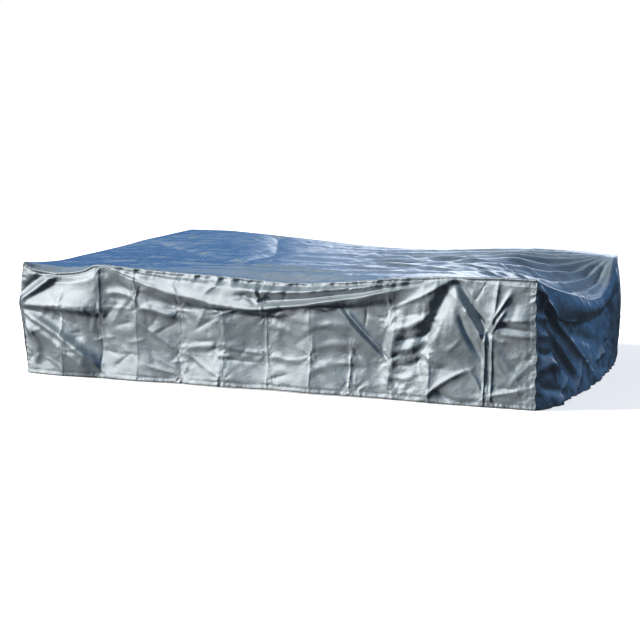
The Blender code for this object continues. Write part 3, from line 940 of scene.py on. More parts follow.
@dataclass(frozen=True)
class CoatedTaffeta:
    """Silver PU-coated polyester taffeta.

    A plain weave of fine filament yarn, dyed grey and coated on the face with polyurethane
    that carries aluminium flake: to the eye a satin, half metallic skin that shows every
    crinkle, and pales along pressed creases where the coating has cracked.
    """

    name: str = "pu_coated_polyester_taffeta"
    colour: str = "#929ca2"
    dull: str = "#717c82"
    worn: str = "#adb5b8"
    roughness: float = 0.43
    duller: float = 0.07      # how much rougher its dullest patches are
    slicker: float = 0.05     # and how much smoother its best
    metallic: float = 0.34
    skimmed: float = 0.90     # the flake lies flat, and mirrors the sky at a skimming look
    polished: float = 0.6     # share of the roughness that is left then
    skimming: tuple[float, float] = (0.62, 0.84)    # where that starts and is complete
    coat: float = 0.90        # the film of polyurethane
    coat_roughness: float = 0.16
    sheen: float = 0.08
    sheen_roughness: float = 0.4
    sheen_tint: str = "#4a78b4"
    blotch: float = 0.35      # size of the coating's uneven patches
    thread: float = 0.004     # real yarns are 0.25 mm apart: drawn sixteen times as coarse
    thread_relief: float = 0.0003
    crinkle: float = 0.026    # size of the coating's crinkles
    crinkle_relief: float = 0.0030
    crinkle_stray: float = 0.03
    pucker: float = 0.018     # spacing of the fine folds across a pull
    pucker_relief: float = 0.0160

    def colouring(
        self, tree: bpy.types.NodeTree, blotch: bpy.types.NodeSocket
    ) -> bpy.types.NodeSocket:
        """Mix the grey of the coating, dull in patches and pale where it is cracked.

        Args:
            tree: the material's tree.
            blotch: how good the coating is, 0 to 1.

        Returns:
            The colour.
        """
        wear = add_node(tree, "ShaderNodeAttribute", {"attribute_name": "wear"}).outputs["Fac"]
        base = add_node(
            tree, "ShaderNodeMix", {"data_type": "RGBA"},
            {"0": blotch, "6": linear(self.dull), "7": linear(self.colour)},
        ).outputs[2]
        worn = add_node(
            tree, "ShaderNodeMath", {"operation": "MULTIPLY", "use_clamp": True},
            {"0": wear, "1": blotch},
        ).outputs[0]
        return add_node(
            tree, "ShaderNodeMix", {"data_type": "RGBA"},
            {"0": worn, "6": base, "7": linear(self.worn)},
        ).outputs[2]

    def gloss(
        self, tree: bpy.types.NodeTree, blotch: bpy.types.NodeSocket
    ) -> tuple[bpy.types.NodeSocket, bpy.types.NodeSocket]:
        """Make the coating more of a mirror at a skimming look.

        Args:
            tree: the material's tree.
            blotch: how good the coating is, 0 to 1.

        Returns:
            How metallic the cloth is, and how rough.
        """
        facing = add_node(tree, "ShaderNodeLayerWeight", {}, {"Blend": 0.5}).outputs["Facing"]
        look = {"Value": facing, "From Min": self.skimming[0], "From Max": self.skimming[1]}
        mirror = add_node(
            tree, "ShaderNodeMapRange", {},
            {**look, "To Min": self.metallic, "To Max": self.skimmed},
        ).outputs[0]
        slick = add_node(
            tree, "ShaderNodeMapRange", {}, {**look, "To Min": 1.0, "To Max": self.polished}
        ).outputs[0]
        rough = add_node(
            tree, "ShaderNodeMapRange", {},
            {"Value": blotch, "To Min": self.roughness - self.slicker,
             "To Max": self.roughness + self.duller},
        ).outputs[0]
        smoothed = add_node(
            tree, "ShaderNodeMath", {"operation": "MULTIPLY"}, {"0": rough, "1": slick}
        ).outputs[0]
        return mirror, smoothed

    def relief(
        self, tree: bpy.types.NodeTree, cloth: bpy.types.NodeSocket
    ) -> bpy.types.NodeSocket:
        """Raise the weave, the crinkles of crushed cloth and the fine folds across a pull.

        Args:
            tree: the material's tree.
            cloth: places on the flat panel, in metres.

        Returns:
            The normal.
        """
        bands = 2 * math.pi / 20 / self.thread
        warp, weft = (
            add_node(
                tree, "ShaderNodeTexWave", {"bands_direction": way},
                {"Vector": cloth, "Scale": bands},
            ).outputs["Fac"]
            for way in "XY"
        )
        weave = add_node(
            tree, "ShaderNodeMath", {"operation": "MULTIPLY"}, {"0": warp, "1": weft}
        ).outputs[0]
        stray = add_node(
            tree, "ShaderNodeTexNoise", {"noise_dimensions": "2D"},
            {"Vector": cloth, "Scale": 1 / 0.05, "Detail": 2.0},
        ).outputs["Color"]
        warped = add_node(
            tree, "ShaderNodeVectorMath", {"operation": "MULTIPLY_ADD"},
            {"0": stray, "1": (self.crinkle_stray, self.crinkle_stray, 0.0), "2": cloth},
        ).outputs[0]
        cells = add_node(
            tree, "ShaderNodeTexVoronoi",
            {"voronoi_dimensions": "2D", "feature": "DISTANCE_TO_EDGE"},
            {"Vector": warped, "Scale": 1 / self.crinkle},
        ).outputs["Distance"]
        pulled = add_node(tree, "ShaderNodeUVMap", {"uv_map": "pull_metres"}).outputs["UV"]
        streak = add_node(
            tree, "ShaderNodeTexNoise", {"noise_dimensions": "2D"},
            {"Vector": pulled, "Scale": 1 / self.pucker, "Detail": 3.0, "Roughness": 0.55},
        ).outputs["Fac"]
        crumple, pull = (
            add_node(tree, "ShaderNodeAttribute", {"attribute_name": name}).outputs["Fac"]
            for name in ("crumple", "pull")
        )
        normal = add_node(
            tree, "ShaderNodeBump", {},
            {"Strength": 0.10, "Distance": self.thread_relief, "Height": weave},
        ).outputs["Normal"]
        for strength, depth, height in (
            (crumple, self.crinkle_relief, cells), (pull, self.pucker_relief, streak)
        ):
            normal = add_node(
                tree, "ShaderNodeBump", {},
                {"Strength": strength, "Distance": depth, "Height": height, "Normal": normal},
            ).outputs["Normal"]
        return normal

    def material(self) -> bpy.types.Material:
        """Build the material.

        Returns:
            The new material.
        """
        made = bpy.data.materials.new(self.name)
        made.use_nodes = True
        tree = made.node_tree
        shader = tree.nodes["Principled BSDF"]
        shader.inputs["Coat Weight"].default_value = self.coat
        shader.inputs["Coat Roughness"].default_value = self.coat_roughness
        shader.inputs["Sheen Weight"].default_value = self.sheen
        shader.inputs["Sheen Roughness"].default_value = self.sheen_roughness
        shader.inputs["Sheen Tint"].default_value = linear(self.sheen_tint)
        cloth = add_node(tree, "ShaderNodeUVMap", {"uv_map": "cloth_metres"}).outputs["UV"]
        blotch = add_node(
            tree, "ShaderNodeTexNoise", {"noise_dimensions": "2D"},
            {"Vector": cloth, "Scale": 1 / self.blotch, "Detail": 4.0, "Roughness": 0.6},
        ).outputs["Fac"]
        metallic, roughness = self.gloss(tree, blotch)
        for name, value in (
            ("Base Color", self.colouring(tree, blotch)),
            ("Metallic", metallic),
            ("Roughness", roughness),
            ("Normal", self.relief(tree, cloth)),
        ):
            tree.links.new(value, shader.inputs[name])
        return made


# --- panels ---------------------------------------------------------------------------------

@dataclass
class Surface:
    """A panel's shaped points, with what the cloth's finish needs to know at each."""

    x: Array
    y: Array
    z: Array
    u: Array             # place on the flat panel, in metres
    v: Array
    wear: Array          # how far the coating is cracked, 0 to 1
    crumple: Array       # how crushed the cloth is, 0 to 1
    pull_across: Array   # coordinates across and along the tension folds
    pull_along: Array
    pull: Array          # how strongly tension folds show


@dataclass
class Panel:
    """A cut panel of cloth: a grid whose points are moved onto its folds."""

    node: str
    width: float
    length: float
    divisions: tuple[int, int]
    cloth: bpy.types.Material
    beside: tuple[str, ...] = ()
    piece: bpy.types.Object | None = field(default=None, init=False)

    def surface(self, across: Array, up: Array) -> Surface:
        """Place the panel's points. Each kind of panel says how."""
        raise NotImplementedError

    def map_uvs(self, mesh: bpy.types.Mesh, name: str, across: Array, along: Array) -> None:
        """Write a UV map from values at the mesh's points.

        Args:
            mesh: the mesh.
            name: the map's name.
            across: the first coordinate of each point.
            along: the second.
        """
        corner = np.empty(len(mesh.loops), int)
        mesh.loops.foreach_get("vertex_index", corner)
        flat = np.column_stack([across, along])[corner]
        layer = mesh.uv_layers.get(name) or mesh.uv_layers.new(name=name)
        layer.data.foreach_set("uv", flat.ravel())

    def build(self) -> bpy.types.Object:
        """Make the panel's mesh and give it thickness.

        Returns:
            The finished piece.
        """
        bpy.ops.object.select_all(action="DESELECT")
        bpy.ops.mesh.primitive_grid_add(
            x_subdivisions=self.divisions[0], y_subdivisions=self.divisions[1], size=1.0
        )
        piece = bpy.context.object
        piece.name = self.node.replace("_panel", "_cloth")
        mesh = piece.data
        points = np.empty(len(mesh.vertices) * 3)
        mesh.vertices.foreach_get("co", points)
        points = points.reshape(-1, 3)
        made = self.surface(points[:, 0] + 0.5, points[:, 1] + 0.5)
        shaped = np.column_stack([made.x - MIDDLE_X, made.y - MIDDLE_Y, made.z + LIFT])
        mesh.vertices.foreach_set("co", shaped.ravel())
        for name in ("wear", "crumple", "pull"):
            values = mesh.attributes.new(name, "FLOAT", "POINT").data
            values.foreach_set("value", np.clip(getattr(made, name), 0, 1))
        mesh.uv_layers.active.name = "cloth_metres"
        self.map_uvs(mesh, "cloth_metres", made.u, made.v)
        self.map_uvs(mesh, "pull_metres", made.pull_across, made.pull_along)
        mesh.update()
        mesh.materials.append(self.cloth)
        solid = piece.modifiers.new("thickness", "SOLIDIFY")
        solid.thickness = SHEET
        solid.offset = -1.0
        bpy.ops.object.modifier_apply(modifier=solid.name)
        bpy.ops.object.shade_smooth()
        self.piece = piece
        return piece

    def declare(self) -> None:
        """Hang the piece on the root body and hide the solid part that it stands for."""
        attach(self.piece, "root")
        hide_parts(self.node)


@dataclass
class SidePanel(Panel):
    """A panel that hangs from the top: heights of the small folds that its cloth takes."""

    crinkled: float = 0.0034      # crinkles
    rippled: float = 0.0020       # slanted ripples
    top_gather: float = 0.0046    # gathers along the seam with the top
    hem_gather: float = 0.0040
    side_gather: float = 0.0034   # along the upright seams


@dataclass
class FrontPanel(SidePanel):
    """The long panel in front, with the swag that the sagging top lets down."""

    rippled: float = 0.0018
    top_gather: float = 0.0100
    side_gather: float = 0.0042
    top_crush: float = 0.0150     # facets of the crushed cloth just under the top's seam
    slack_crinkled: float = 0.0050    # how much higher crinkles are in the slack stretch
    slack_at: float = 0.93        # where that stretch is
    slack_reach: float = 0.15
    taut_to: float = 1.2          # the seam isn't gathered from here to the corners
    crushed: float = 0.0040       # facets about a knot
    starred: float = 0.0030       # folds that run out from a knot
    hem_stitch: float = 0.003     # how deep the stitches sink
    side_stitch: float = 0.002
    side_allowance: float = 0.034

    def surface(self, across: Array, up: Array) -> Surface:
        """Place the front panel's points.

        Args:
            across: from the left corner to the right, 0 to 1.
            up: from the hem to the seam, 0 to 1.

        Returns:
            The shaped points.
        """
        x = crowd(across, [row.at for row in FRONT_UPRIGHT] + list(FRONT_BUSY), HALF_LENGTH, 0.024)
        cut = read_rows(FRONT, x)
        seam, crest, hem, under = cut.seam, cut.crest, cut.hem, cut.under
        tuck = crest - 0.088 + 0.080 * under
        marks = (0.0, 0.30, 0.56, 0.62, 0.67, 0.76, 0.86, 0.955, 0.985, 1.0)
        heights = (
            hem,
            hem + 0.52 * (tuck - hem),
            tuck,
            crest - 0.034 + 0.026 * under,
            crest + 0.006,
            crest + 0.30 * (seam - crest),
            crest + 0.62 * (seam - crest),
            seam - 0.018,
            seam - 0.006,
            seam,
        )
        out = (
            cut.hem_out,
            0.5 * (cut.hem_out + cut.tuck_out) - 0.011 * np.clip(under + 0.5, 0, 1),
            cut.tuck_out,
            cut.tuck_out + (0.55 + 0.25 * under) * (cut.crest_out - cut.tuck_out),
            cut.crest_out,
            cut.groove_out,
            cut.ridge_out,
            0.22 * cut.ridge_out - 0.003,
            0.005,
            -0.001,
        )
        z = profile(marks, heights, up)
        proud = profile(marks, out, up)
        folds = sum(fold_height(fold, x, z) for fold in FRONT_FOLDS)
        wander = 0.012 * Noise(31).smooth(x / 0.5, z / 0.12)
        slack = 0.95 + 0.9 * Noise(33).smooth(x / 0.4, z / 0.3)
        low = ease(crest - z, 0.10)
        facets = low * facet_height(FRONT_UPRIGHT, x - wander, slack)
        facets = facets + 0.8 * low * facet_height(FRONT_LEVEL, z - wander, slack)
        lines = pressed_lines(FRONT_UPRIGHT, x, z, wander)
        lines = lines + pressed_lines(FRONT_LEVEL, z, x, wander)
        knots = knot_weight(FRONT_KNOTS, x, z)
        loose = np.exp(-(((x - self.slack_at) / self.slack_reach) ** 2))
        loose = loose * np.clip(1.5 - z / 0.45, 0, 1)
        hang = ease(seam - z, TOP_EASE)
        near_corner = HALF_LENGTH - np.abs(x)
        edge = ease(near_corner, SIDE_EASE)
        rough = (self.crinkled + self.slack_crinkled * loose) * crinkle(x, z, 40)
        rough = rough + self.crushed * knots * Noise(45).facets(x / 0.032, z / 0.030)
        rough = rough + small_creases(x, z, 150, 48)
        rough = rough + self.starred * stars(FRONT_KNOTS, x, z, 46)
        rough = rough + self.rippled * ripples(x, z, 47)
        tight = np.clip(2.2 * (self.taut_to - np.abs(x)), 0.12, 1)
        crush = Noise(55).facets(x / 0.045, z / 0.060) * fade(seam - z, 0.085)
        gathers = (
            self.top_gather * puckers(x, seam - z, 0.065, 0.046, 50) * tight
            + self.top_crush * crush * tight
            + self.hem_gather * puckers(x, z - hem, 0.060, 0.040, 60)
            + self.side_gather * puckers(z, near_corner, 0.060, 0.030, 70)
        )
        stitch = -self.hem_stitch * np.exp(-(((z - hem - HEM_DEPTH) / 0.004) ** 2))
        beside = (HALF_LENGTH - x - self.side_allowance) / 0.006
        stitch = stitch - self.side_stitch * np.exp(-(beside**2))
        lift = (folds + facets + lines + rough) * edge * hang
        lift = lift + gathers * np.clip(hang * 3, 0, 1) + stitch
        y = -HALF_WIDTH - proud - lift * ease(near_corner, SEAM_EASE)
        hems = fade(z - hem, 0.05) + fade(seam - z, 0.05) + fade(near_corner, 0.06)
        pinch = corner_out(FRONT_LEFT_CORNER, z) * fade(x + HALF_LENGTH, PULL_REACH)
        bulge = corner_out(FRONT_RIGHT_CORNER, z) * fade(HALF_LENGTH - x, SCALLOP_REACH)
        return Surface(
            x=x - pinch + bulge,
            y=y,
            z=z,
            u=x,
            v=z,
            wear=np.abs(lines) / 0.008 + 0.4 * knots,
            crumple=0.35 + 0.4 * knots + 0.4 * loose + 0.3 * hems,
            pull_across=x,
            pull_along=0.3 * z,
            pull=0.3 * (fade(seam - z, 0.07) + fade(z - hem, 0.05)),
        )


@dataclass
class RightPanel(SidePanel):
    """The short panel on the right, with the slack roll under the drooping edge."""

    crinkled: float = 0.0030
    top_gather: float = 0.0025
    hem_gather: float = 0.0060
    side_gather: float = 0.0040
    low_crinkled: float = 0.0070  # how much higher crinkles are near the ground
    scallops: float = 0.0120      # broad waves of the hem

    def surface(self, across: Array, up: Array) -> Surface:
        """Place the right panel's points.

        Args:
            across: from the front corner to the back, 0 to 1.
            up: from the hem to the seam, 0 to 1.

        Returns:
            The shaped points.
        """
        y = -HALF_WIDTH + across * WIDTH
        cut = read_rows(RIGHT, y)
        seam, roll, tuck = cut.seam, cut.roll, cut.tuck
        marks = (0.0, 0.30, 0.54, 0.60, 0.74, 0.985, 1.0)
        heights = (
            HEM_HEIGHT,
            0.5 * tuck,
            tuck,
            tuck + 0.18 * (roll - tuck),
            roll,
            seam - 0.006,
            seam,
        )
        out = (
            cut.hem_out,
            0.45 * cut.hem_out + 0.55 * cut.tuck_out,
            cut.tuck_out,
            cut.tuck_out + 0.55 * (cut.roll_out - cut.tuck_out),
            cut.roll_out,
            cut.seam_out + 0.004,
            cut.seam_out,
        )
        z = profile(marks, heights, up)
        proud = profile(marks, out, up)
        folds = sum(fold_height(fold, y, z) for fold in RIGHT_FOLDS)
        hang = ease(seam - z, TOP_EASE)
        near_corner = HALF_WIDTH - np.abs(y)
        edge = ease(near_corner, SIDE_EASE)
        low = np.clip(1 - z / 0.25, 0, 1)
        rough = (self.crinkled + self.low_crinkled * low) * crinkle(y, z, 140)
        rough = rough + self.rippled * ripples(y, z, 145) + small_creases(y, z, 50, 146)
        gathers = (
            self.top_gather * puckers(y, seam - z, 0.040, 0.030, 150)
            + self.hem_gather * puckers(y, z, 0.070, 0.050, 160)
            + self.scallops * puckers(y, z, 0.160, 0.110, 165)
            + self.side_gather * puckers(z, near_corner, 0.070, 0.034, 170)
        )
        lift = (folds + rough) * edge * hang + gathers * np.clip(hang * 3, 0, 1)
        lift = lift * ease(near_corner, SEAM_EASE)
        back = corner_out(BACK_RIGHT_CORNER, z) * fade(HALF_WIDTH - y, PULL_REACH)
        bulge = corner_out(FRONT_RIGHT_CORNER, z) * fade(y + HALF_WIDTH, SCALLOP_REACH)
        return Surface(
            x=HALF_LENGTH + proud + lift + back + bulge,
            y=y,
            z=z,
            u=y,
            v=z,
            wear=0.5 * np.clip(np.abs(folds) / 0.03, 0, 1) ** 2,
            crumple=0.15 + 0.5 * low + 0.4 * fade(near_corner, 0.1),
            pull_across=y,
            pull_along=0.3 * z,
            pull=0.2 * fade(seam - z, 0.05) + 0.3 * fade(z, 0.06),
        )


@dataclass
class PlainPanel(SidePanel):
    """A side panel away from view: it hangs plainly, with pack creases."""

    rows: tuple[PlainSection, ...] = ()
    seed: int = 0                 # of its own set of folds
    pressed: float = 0.004        # height of the pack creases
    sway: float = 0.010           # broad waves
    crushed: float = 0.0040       # facets where pack creases cross
    starred: float = 0.0030       # folds that run out from there
    hem_stitch: float = 0.003     # how deep the stitches sink

    def hang(self, along: Array, up: Array) -> Surface:
        """Work out a plain panel's shape, as if it hung in the plane y = 0.

        Args:
            along: places along its table.
            up: from the hem to the seam, 0 to 1.

        Returns:
            The shaped points: x is `along`, and y how far the cloth stands out of the box.
        """
        cut = read_rows(self.rows, along)
        seam = cut.seam
        z = profile((0.0, 0.98, 1.0), (HEM_HEIGHT, seam - 0.008, seam), up)
        out = (cut.hem_out, cut.middle_out, 0.003, -0.001)
        proud = profile((0.0, 0.55, 0.985, 1.0), out, up)
        half = -self.rows[0].along
        wander = 0.010 * Noise(self.seed).smooth(along / 0.5, z / 0.15)
        places = np.arange(-half + 0.22, half - 0.1, PACK_PITCH)
        rows = pack_rows(places, 0.02, 0.6, self.pressed)
        rows = [replace(row, lift=2.25 * row.out) for row in rows]
        rows = [PackCrease(-half, *ENDING), *rows, PackCrease(half, *ENDING)]
        slack = 1 + 0.9 * Noise(self.seed + 1).smooth(along / 0.4, z / 0.3)
        facets = facet_height(rows, along - wander, slack)
        facets = facets + 0.8 * facet_height(PLAIN_LEVEL, z - wander, slack)
        lines = pressed_lines(rows, along, z, wander)
        lines = lines + pressed_lines(PLAIN_LEVEL, z, along, wander)
        crossings = [Knot(at, level.at, 0.05) for at in places for level in PLAIN_LEVEL[1:3]]
        knots = knot_weight(crossings, along, z)
        near_corner = half - np.abs(along)
        sway = self.sway * Noise(self.seed + 3).smooth(along / 0.33, z / 0.9)
        crush = self.crushed * knots * Noise(self.seed + 9).facets(along / 0.034, z / 0.032)
        rough = self.crinkled * crinkle(along, z, self.seed + 5) + sway + crush
        rough = rough + self.starred * stars(crossings, along, z, self.seed + 11)
        rough = rough + small_creases(along, z, 90, self.seed + 13)
        rough = rough + self.rippled * ripples(along, z, self.seed + 12)
        hang = ease(seam - z, TOP_EASE) * ease(near_corner, SIDE_EASE)
        gathers = (
            self.top_gather * puckers(along, seam - z, 0.055, 0.030, self.seed + 50)
            + self.hem_gather * puckers(along, z, 0.060, 0.040, self.seed + 60)
            + self.side_gather * puckers(z, near_corner, 0.060, 0.030, self.seed + 70)
        )
        stitch = -self.hem_stitch * np.exp(-(((z - HEM_DEPTH) / 0.004) ** 2))
        gathers = gathers * ease(seam - z, 0.015)
        lift = (facets + lines + rough) * hang
        lift = lift + (gathers + stitch) * ease(near_corner, SEAM_EASE)
        return Surface(
            x=along,
            y=proud + lift,
            z=z,
            u=along,
            v=z,
            wear=np.abs(lines) / 0.008 + 0.4 * knots,
            crumple=0.25 + 0.7 * knots + 0.4 * (fade(z, 0.05) + fade(near_corner, 0.06)),
            pull_across=along,
            pull_along=0.3 * z,
            pull=0.3 * (fade(seam - z, 0.07) + fade(z, 0.05)),
        )


class BackPanel(PlainPanel):
    """The long panel behind."""

    def surface(self, across: Array, up: Array) -> Surface:
        """Place the back panel's points.

        Args:
            across: from the right corner to the left, 0 to 1.
            up: from the hem to the seam, 0 to 1.

        Returns:
            The shaped points.
        """
        made = self.hang(HALF_LENGTH - across * LENGTH, up)
        near = fade(HALF_LENGTH - made.x, PULL_REACH)
        made.x = made.x + corner_out(BACK_RIGHT_CORNER, made.z) * near
        made.y = HALF_WIDTH + made.y
        return made


class LeftPanel(PlainPanel):
    """The short panel on the left."""

    def surface(self, across: Array, up: Array) -> Surface:
        """Place the left panel's points.

        Args:
            across: from the back corner to the front, 0 to 1.
            up: from the hem to the seam, 0 to 1.

        Returns:
            The shaped points.
        """
        made = self.hang(HALF_WIDTH - across * WIDTH, up)
        pinch = corner_out(FRONT_LEFT_CORNER, made.z) * fade(made.x + HALF_WIDTH, PULL_REACH)
        made.x, made.y = -HALF_LENGTH - made.y - pinch, made.x
        return made


@dataclass
class TopPanel(Panel):
    """The top: slung between the corners, raised at the back left, drooping at the right."""

    sag: float = 0.030
    droop_reach: float = 0.62     # how far in the right edge's droop is felt
    side_reach: float = 0.90      # and the shape of the left and back edges
    crease_depth: float = 0.016
    crease_width: float = 0.14
    ray_share: float = 0.85       # how much of the rays and the long folds still shows
    fold_share: float = 0.55
    streaked: float = 0.008       # heights of the fine streaks between the rays,
    crinkled: float = 0.0022      # of crinkles,
    rippled: float = 0.0020       # of slanted ripples
    waved: float = 0.009          # and of long waves
    pressed: float = 0.004        # height of the pack creases
    front_gather: float = 0.0040  # of the gathers along the front seam
    right_gather: float = 0.0026

    def crease_distance(self, x: Array, y: Array) -> Array:
        """Measure, in plan, how far the crease around the raised corner is.

        Args:
            x: places along the box.
            y: places across it.

        Returns:
            The distance at each place.
        """
        nearest = np.full(x.shape, np.inf)
        for start, end in zip(RAISED_CREASE, RAISED_CREASE[1:]):
            dx = end.x - start.x
            dy = end.y - start.y
            run = np.clip(((x - start.x) * dx + (y - start.y) * dy) / (dx**2 + dy**2), 0, 1)
            away = np.hypot(x - start.x - run * dx, y - start.y - run * dy)
            nearest = np.minimum(nearest, away)
        return nearest

    def tension(self, x: Array, y: Array) -> Array:
        """Work out the folds that fan out from the back right corner.

        Args:
            x: places along the box.
            y: places across it.

        Returns:
            The height of the folds there.
        """
        dx = HALF_LENGTH - x
        dy = HALF_WIDTH - y
        reach = np.hypot(dx, dy)
        turn = np.degrees(np.arctan2(dy, dx))
        total = np.zeros_like(x)
        for ray in TOP_RAYS:
            run = np.clip((reach - ray.start) / (ray.end - ray.start), 0, 1)
            bell = np.exp(-(((turn - ray.angle) / (0.55 * ray.width)) ** 2))
            total = total + ray.rise * np.sin(np.pi * run**0.7) * bell
        streaks = Noise(210).smooth(turn / 2.2, reach / 1.1)
        folds = sum(fold_height(fold, x, y) for fold in TOP_FOLDS)
        total = self.ray_share * total + self.fold_share * folds
        return total + self.streaked * streaks * ease(reach, 0.6) * fade(reach, 2.6)

    def surface(self, across: Array, up: Array) -> Surface:
        """Place the top panel's points.

        Args:
            across: from left to right, 0 to 1.
            up: from front to back, 0 to 1.

        Returns:
            The shaped points.
        """
        x = -HALF_LENGTH + across * LENGTH
        y = -HALF_WIDTH + up * WIDTH
        tilt = (RAISED - HEIGHT) * (1 - across)
        cut = read_rows(FRONT, x)
        drooped = read_rows(RIGHT, y)
        front = cut.seam - HEIGHT
        right = drooped.seam - HEIGHT
        rear = read_rows(BACK, x).seam - (HEIGHT + tilt)
        left = read_rows(LEFT, y).seam - (HEIGHT + (RAISED - HEIGHT) * up)
        in_front = y + HALF_WIDTH
        z = (
            HEIGHT
            + tilt * up
            + front * (0.6 * fade(in_front, cut.bend) + 0.4 * fade(in_front, 0.50))
            + right * fade(HALF_LENGTH - x, self.droop_reach)
            + rear * fade(HALF_WIDTH - y, self.side_reach)
            + left * fade(x + HALF_LENGTH, self.side_reach)
        )
        inside = np.minimum(HALF_LENGTH - np.abs(x), HALF_WIDTH - np.abs(y))
        held = 1 - fade(inside, 0.10)
        away = self.crease_distance(x, y)
        crease = self.crease_depth * np.exp(-away / (0.4 * self.crease_width))
        wander = 0.014 * Noise(220).smooth(x / 0.5, y / 0.5)
        crosswise = pack_rows(np.arange(-1.34, 1.5, PACK_PITCH), -1.0, 1.0, self.pressed)
        lengthwise = pack_rows(np.arange(-0.80, 0.9, PACK_PITCH), -1.55, 1.55, self.pressed)
        lines = pressed_lines(crosswise, x, y, wander) + pressed_lines(lengthwise, y, x, wander)
        rough = self.crinkled * crinkle(x, y, 230) + self.rippled * ripples(x, y, 235)
        rough = rough + small_creases(x, y, 160, 236)
        ripple = self.waved * Noise(240).smooth(x / 1.1, (y - 0.12 * x) / 0.13)
        gathers = self.front_gather * puckers(x, in_front, 0.10, 0.040, 250)
        gathers = gathers + self.right_gather * puckers(y, HALF_LENGTH - x, 0.12, 0.040, 260)
        z = z - self.sag * np.sin(np.pi * across) * np.sin(np.pi * up)
        z = z + held * (self.tension(x, y) + lines + rough + ripple - crease)
        z = z + gathers * ease(inside, 0.02)
        reach = np.hypot(HALF_LENGTH - x, HALF_WIDTH - y)
        turn = np.arctan2(HALF_WIDTH - y, HALF_LENGTH - x)
        return Surface(
            x=x + drooped.seam_out * fade(HALF_LENGTH - x, self.droop_reach),
            y=y,
            z=z,
            u=x,
            v=y,
            wear=np.abs(lines) / 0.005 + crease / 0.02,
            crumple=0.30 + 0.3 * fade(inside, 0.1),
            pull_across=1.4 * turn,
            pull_along=0.10 * reach,
            pull=ease(reach, 1.0) * fade(reach, 3.8),
        )


# --- studio ---------------------------------------------------------------------------------

@dataclass(frozen=True)
class Lamp:
    """A broad, distant lamp."""

    name: str
    power: float
    colour: str
    spread: float     # degrees across: how soft the edges of its shadows are
    height: float     # degrees above level
    heading: float    # degrees from +Y towards -X: the way that it shines


@dataclass(frozen=True)
class SkyStop:
    """One colour of the sky that the cloth mirrors."""

    place: float      # 0 is straight down, 0.5 level and 1 straight up
    colour: str


GROUND = "#30363c"    # dark paving, as the cloth mirrors it and is lit from below

SKY = make_rows(
    SkyStop,
    (0.0, GROUND), (0.40, GROUND), (0.46, "#354a5e"), (0.500, "#4b6e96"), (0.545, "#4a719f"),
    (0.600, "#4270a8"), (0.640, "#6c98cc"), (0.720, "#8fb2dc"), (0.800, "#a9c3e2"),
    (0.95, "#557796"),
)


@dataclass(frozen=True)
class Glow:
    """A soft-edged round patch of brightness in the sky that the cloth mirrors."""

    way: tuple[float, float, float]     # towards its middle
    start: float      # cosine of the angle from its middle at which its edge starts
    full: float       # and at which it is full
    power: float

    def strength(
        self, tree: bpy.types.NodeTree, way: bpy.types.NodeSocket
    ) -> bpy.types.NodeSocket:
        """Work out how bright the patch is.

        Args:
            tree: the world's tree.
            way: the way that is looked in.

        Returns:
            Its strength, from nothing outside to its power inside.
        """
        toward = add_node(
            tree, "ShaderNodeVectorMath", {"operation": "DOT_PRODUCT"}, {"0": way, "1": self.way}
        ).outputs["Value"]
        return add_node(
            tree, "ShaderNodeMapRange", {"interpolation_type": "SMOOTHSTEP"},
            {"Value": toward, "From Min": self.start, "From Max": self.full,
             "To Max": self.power},
        ).outputs[0]


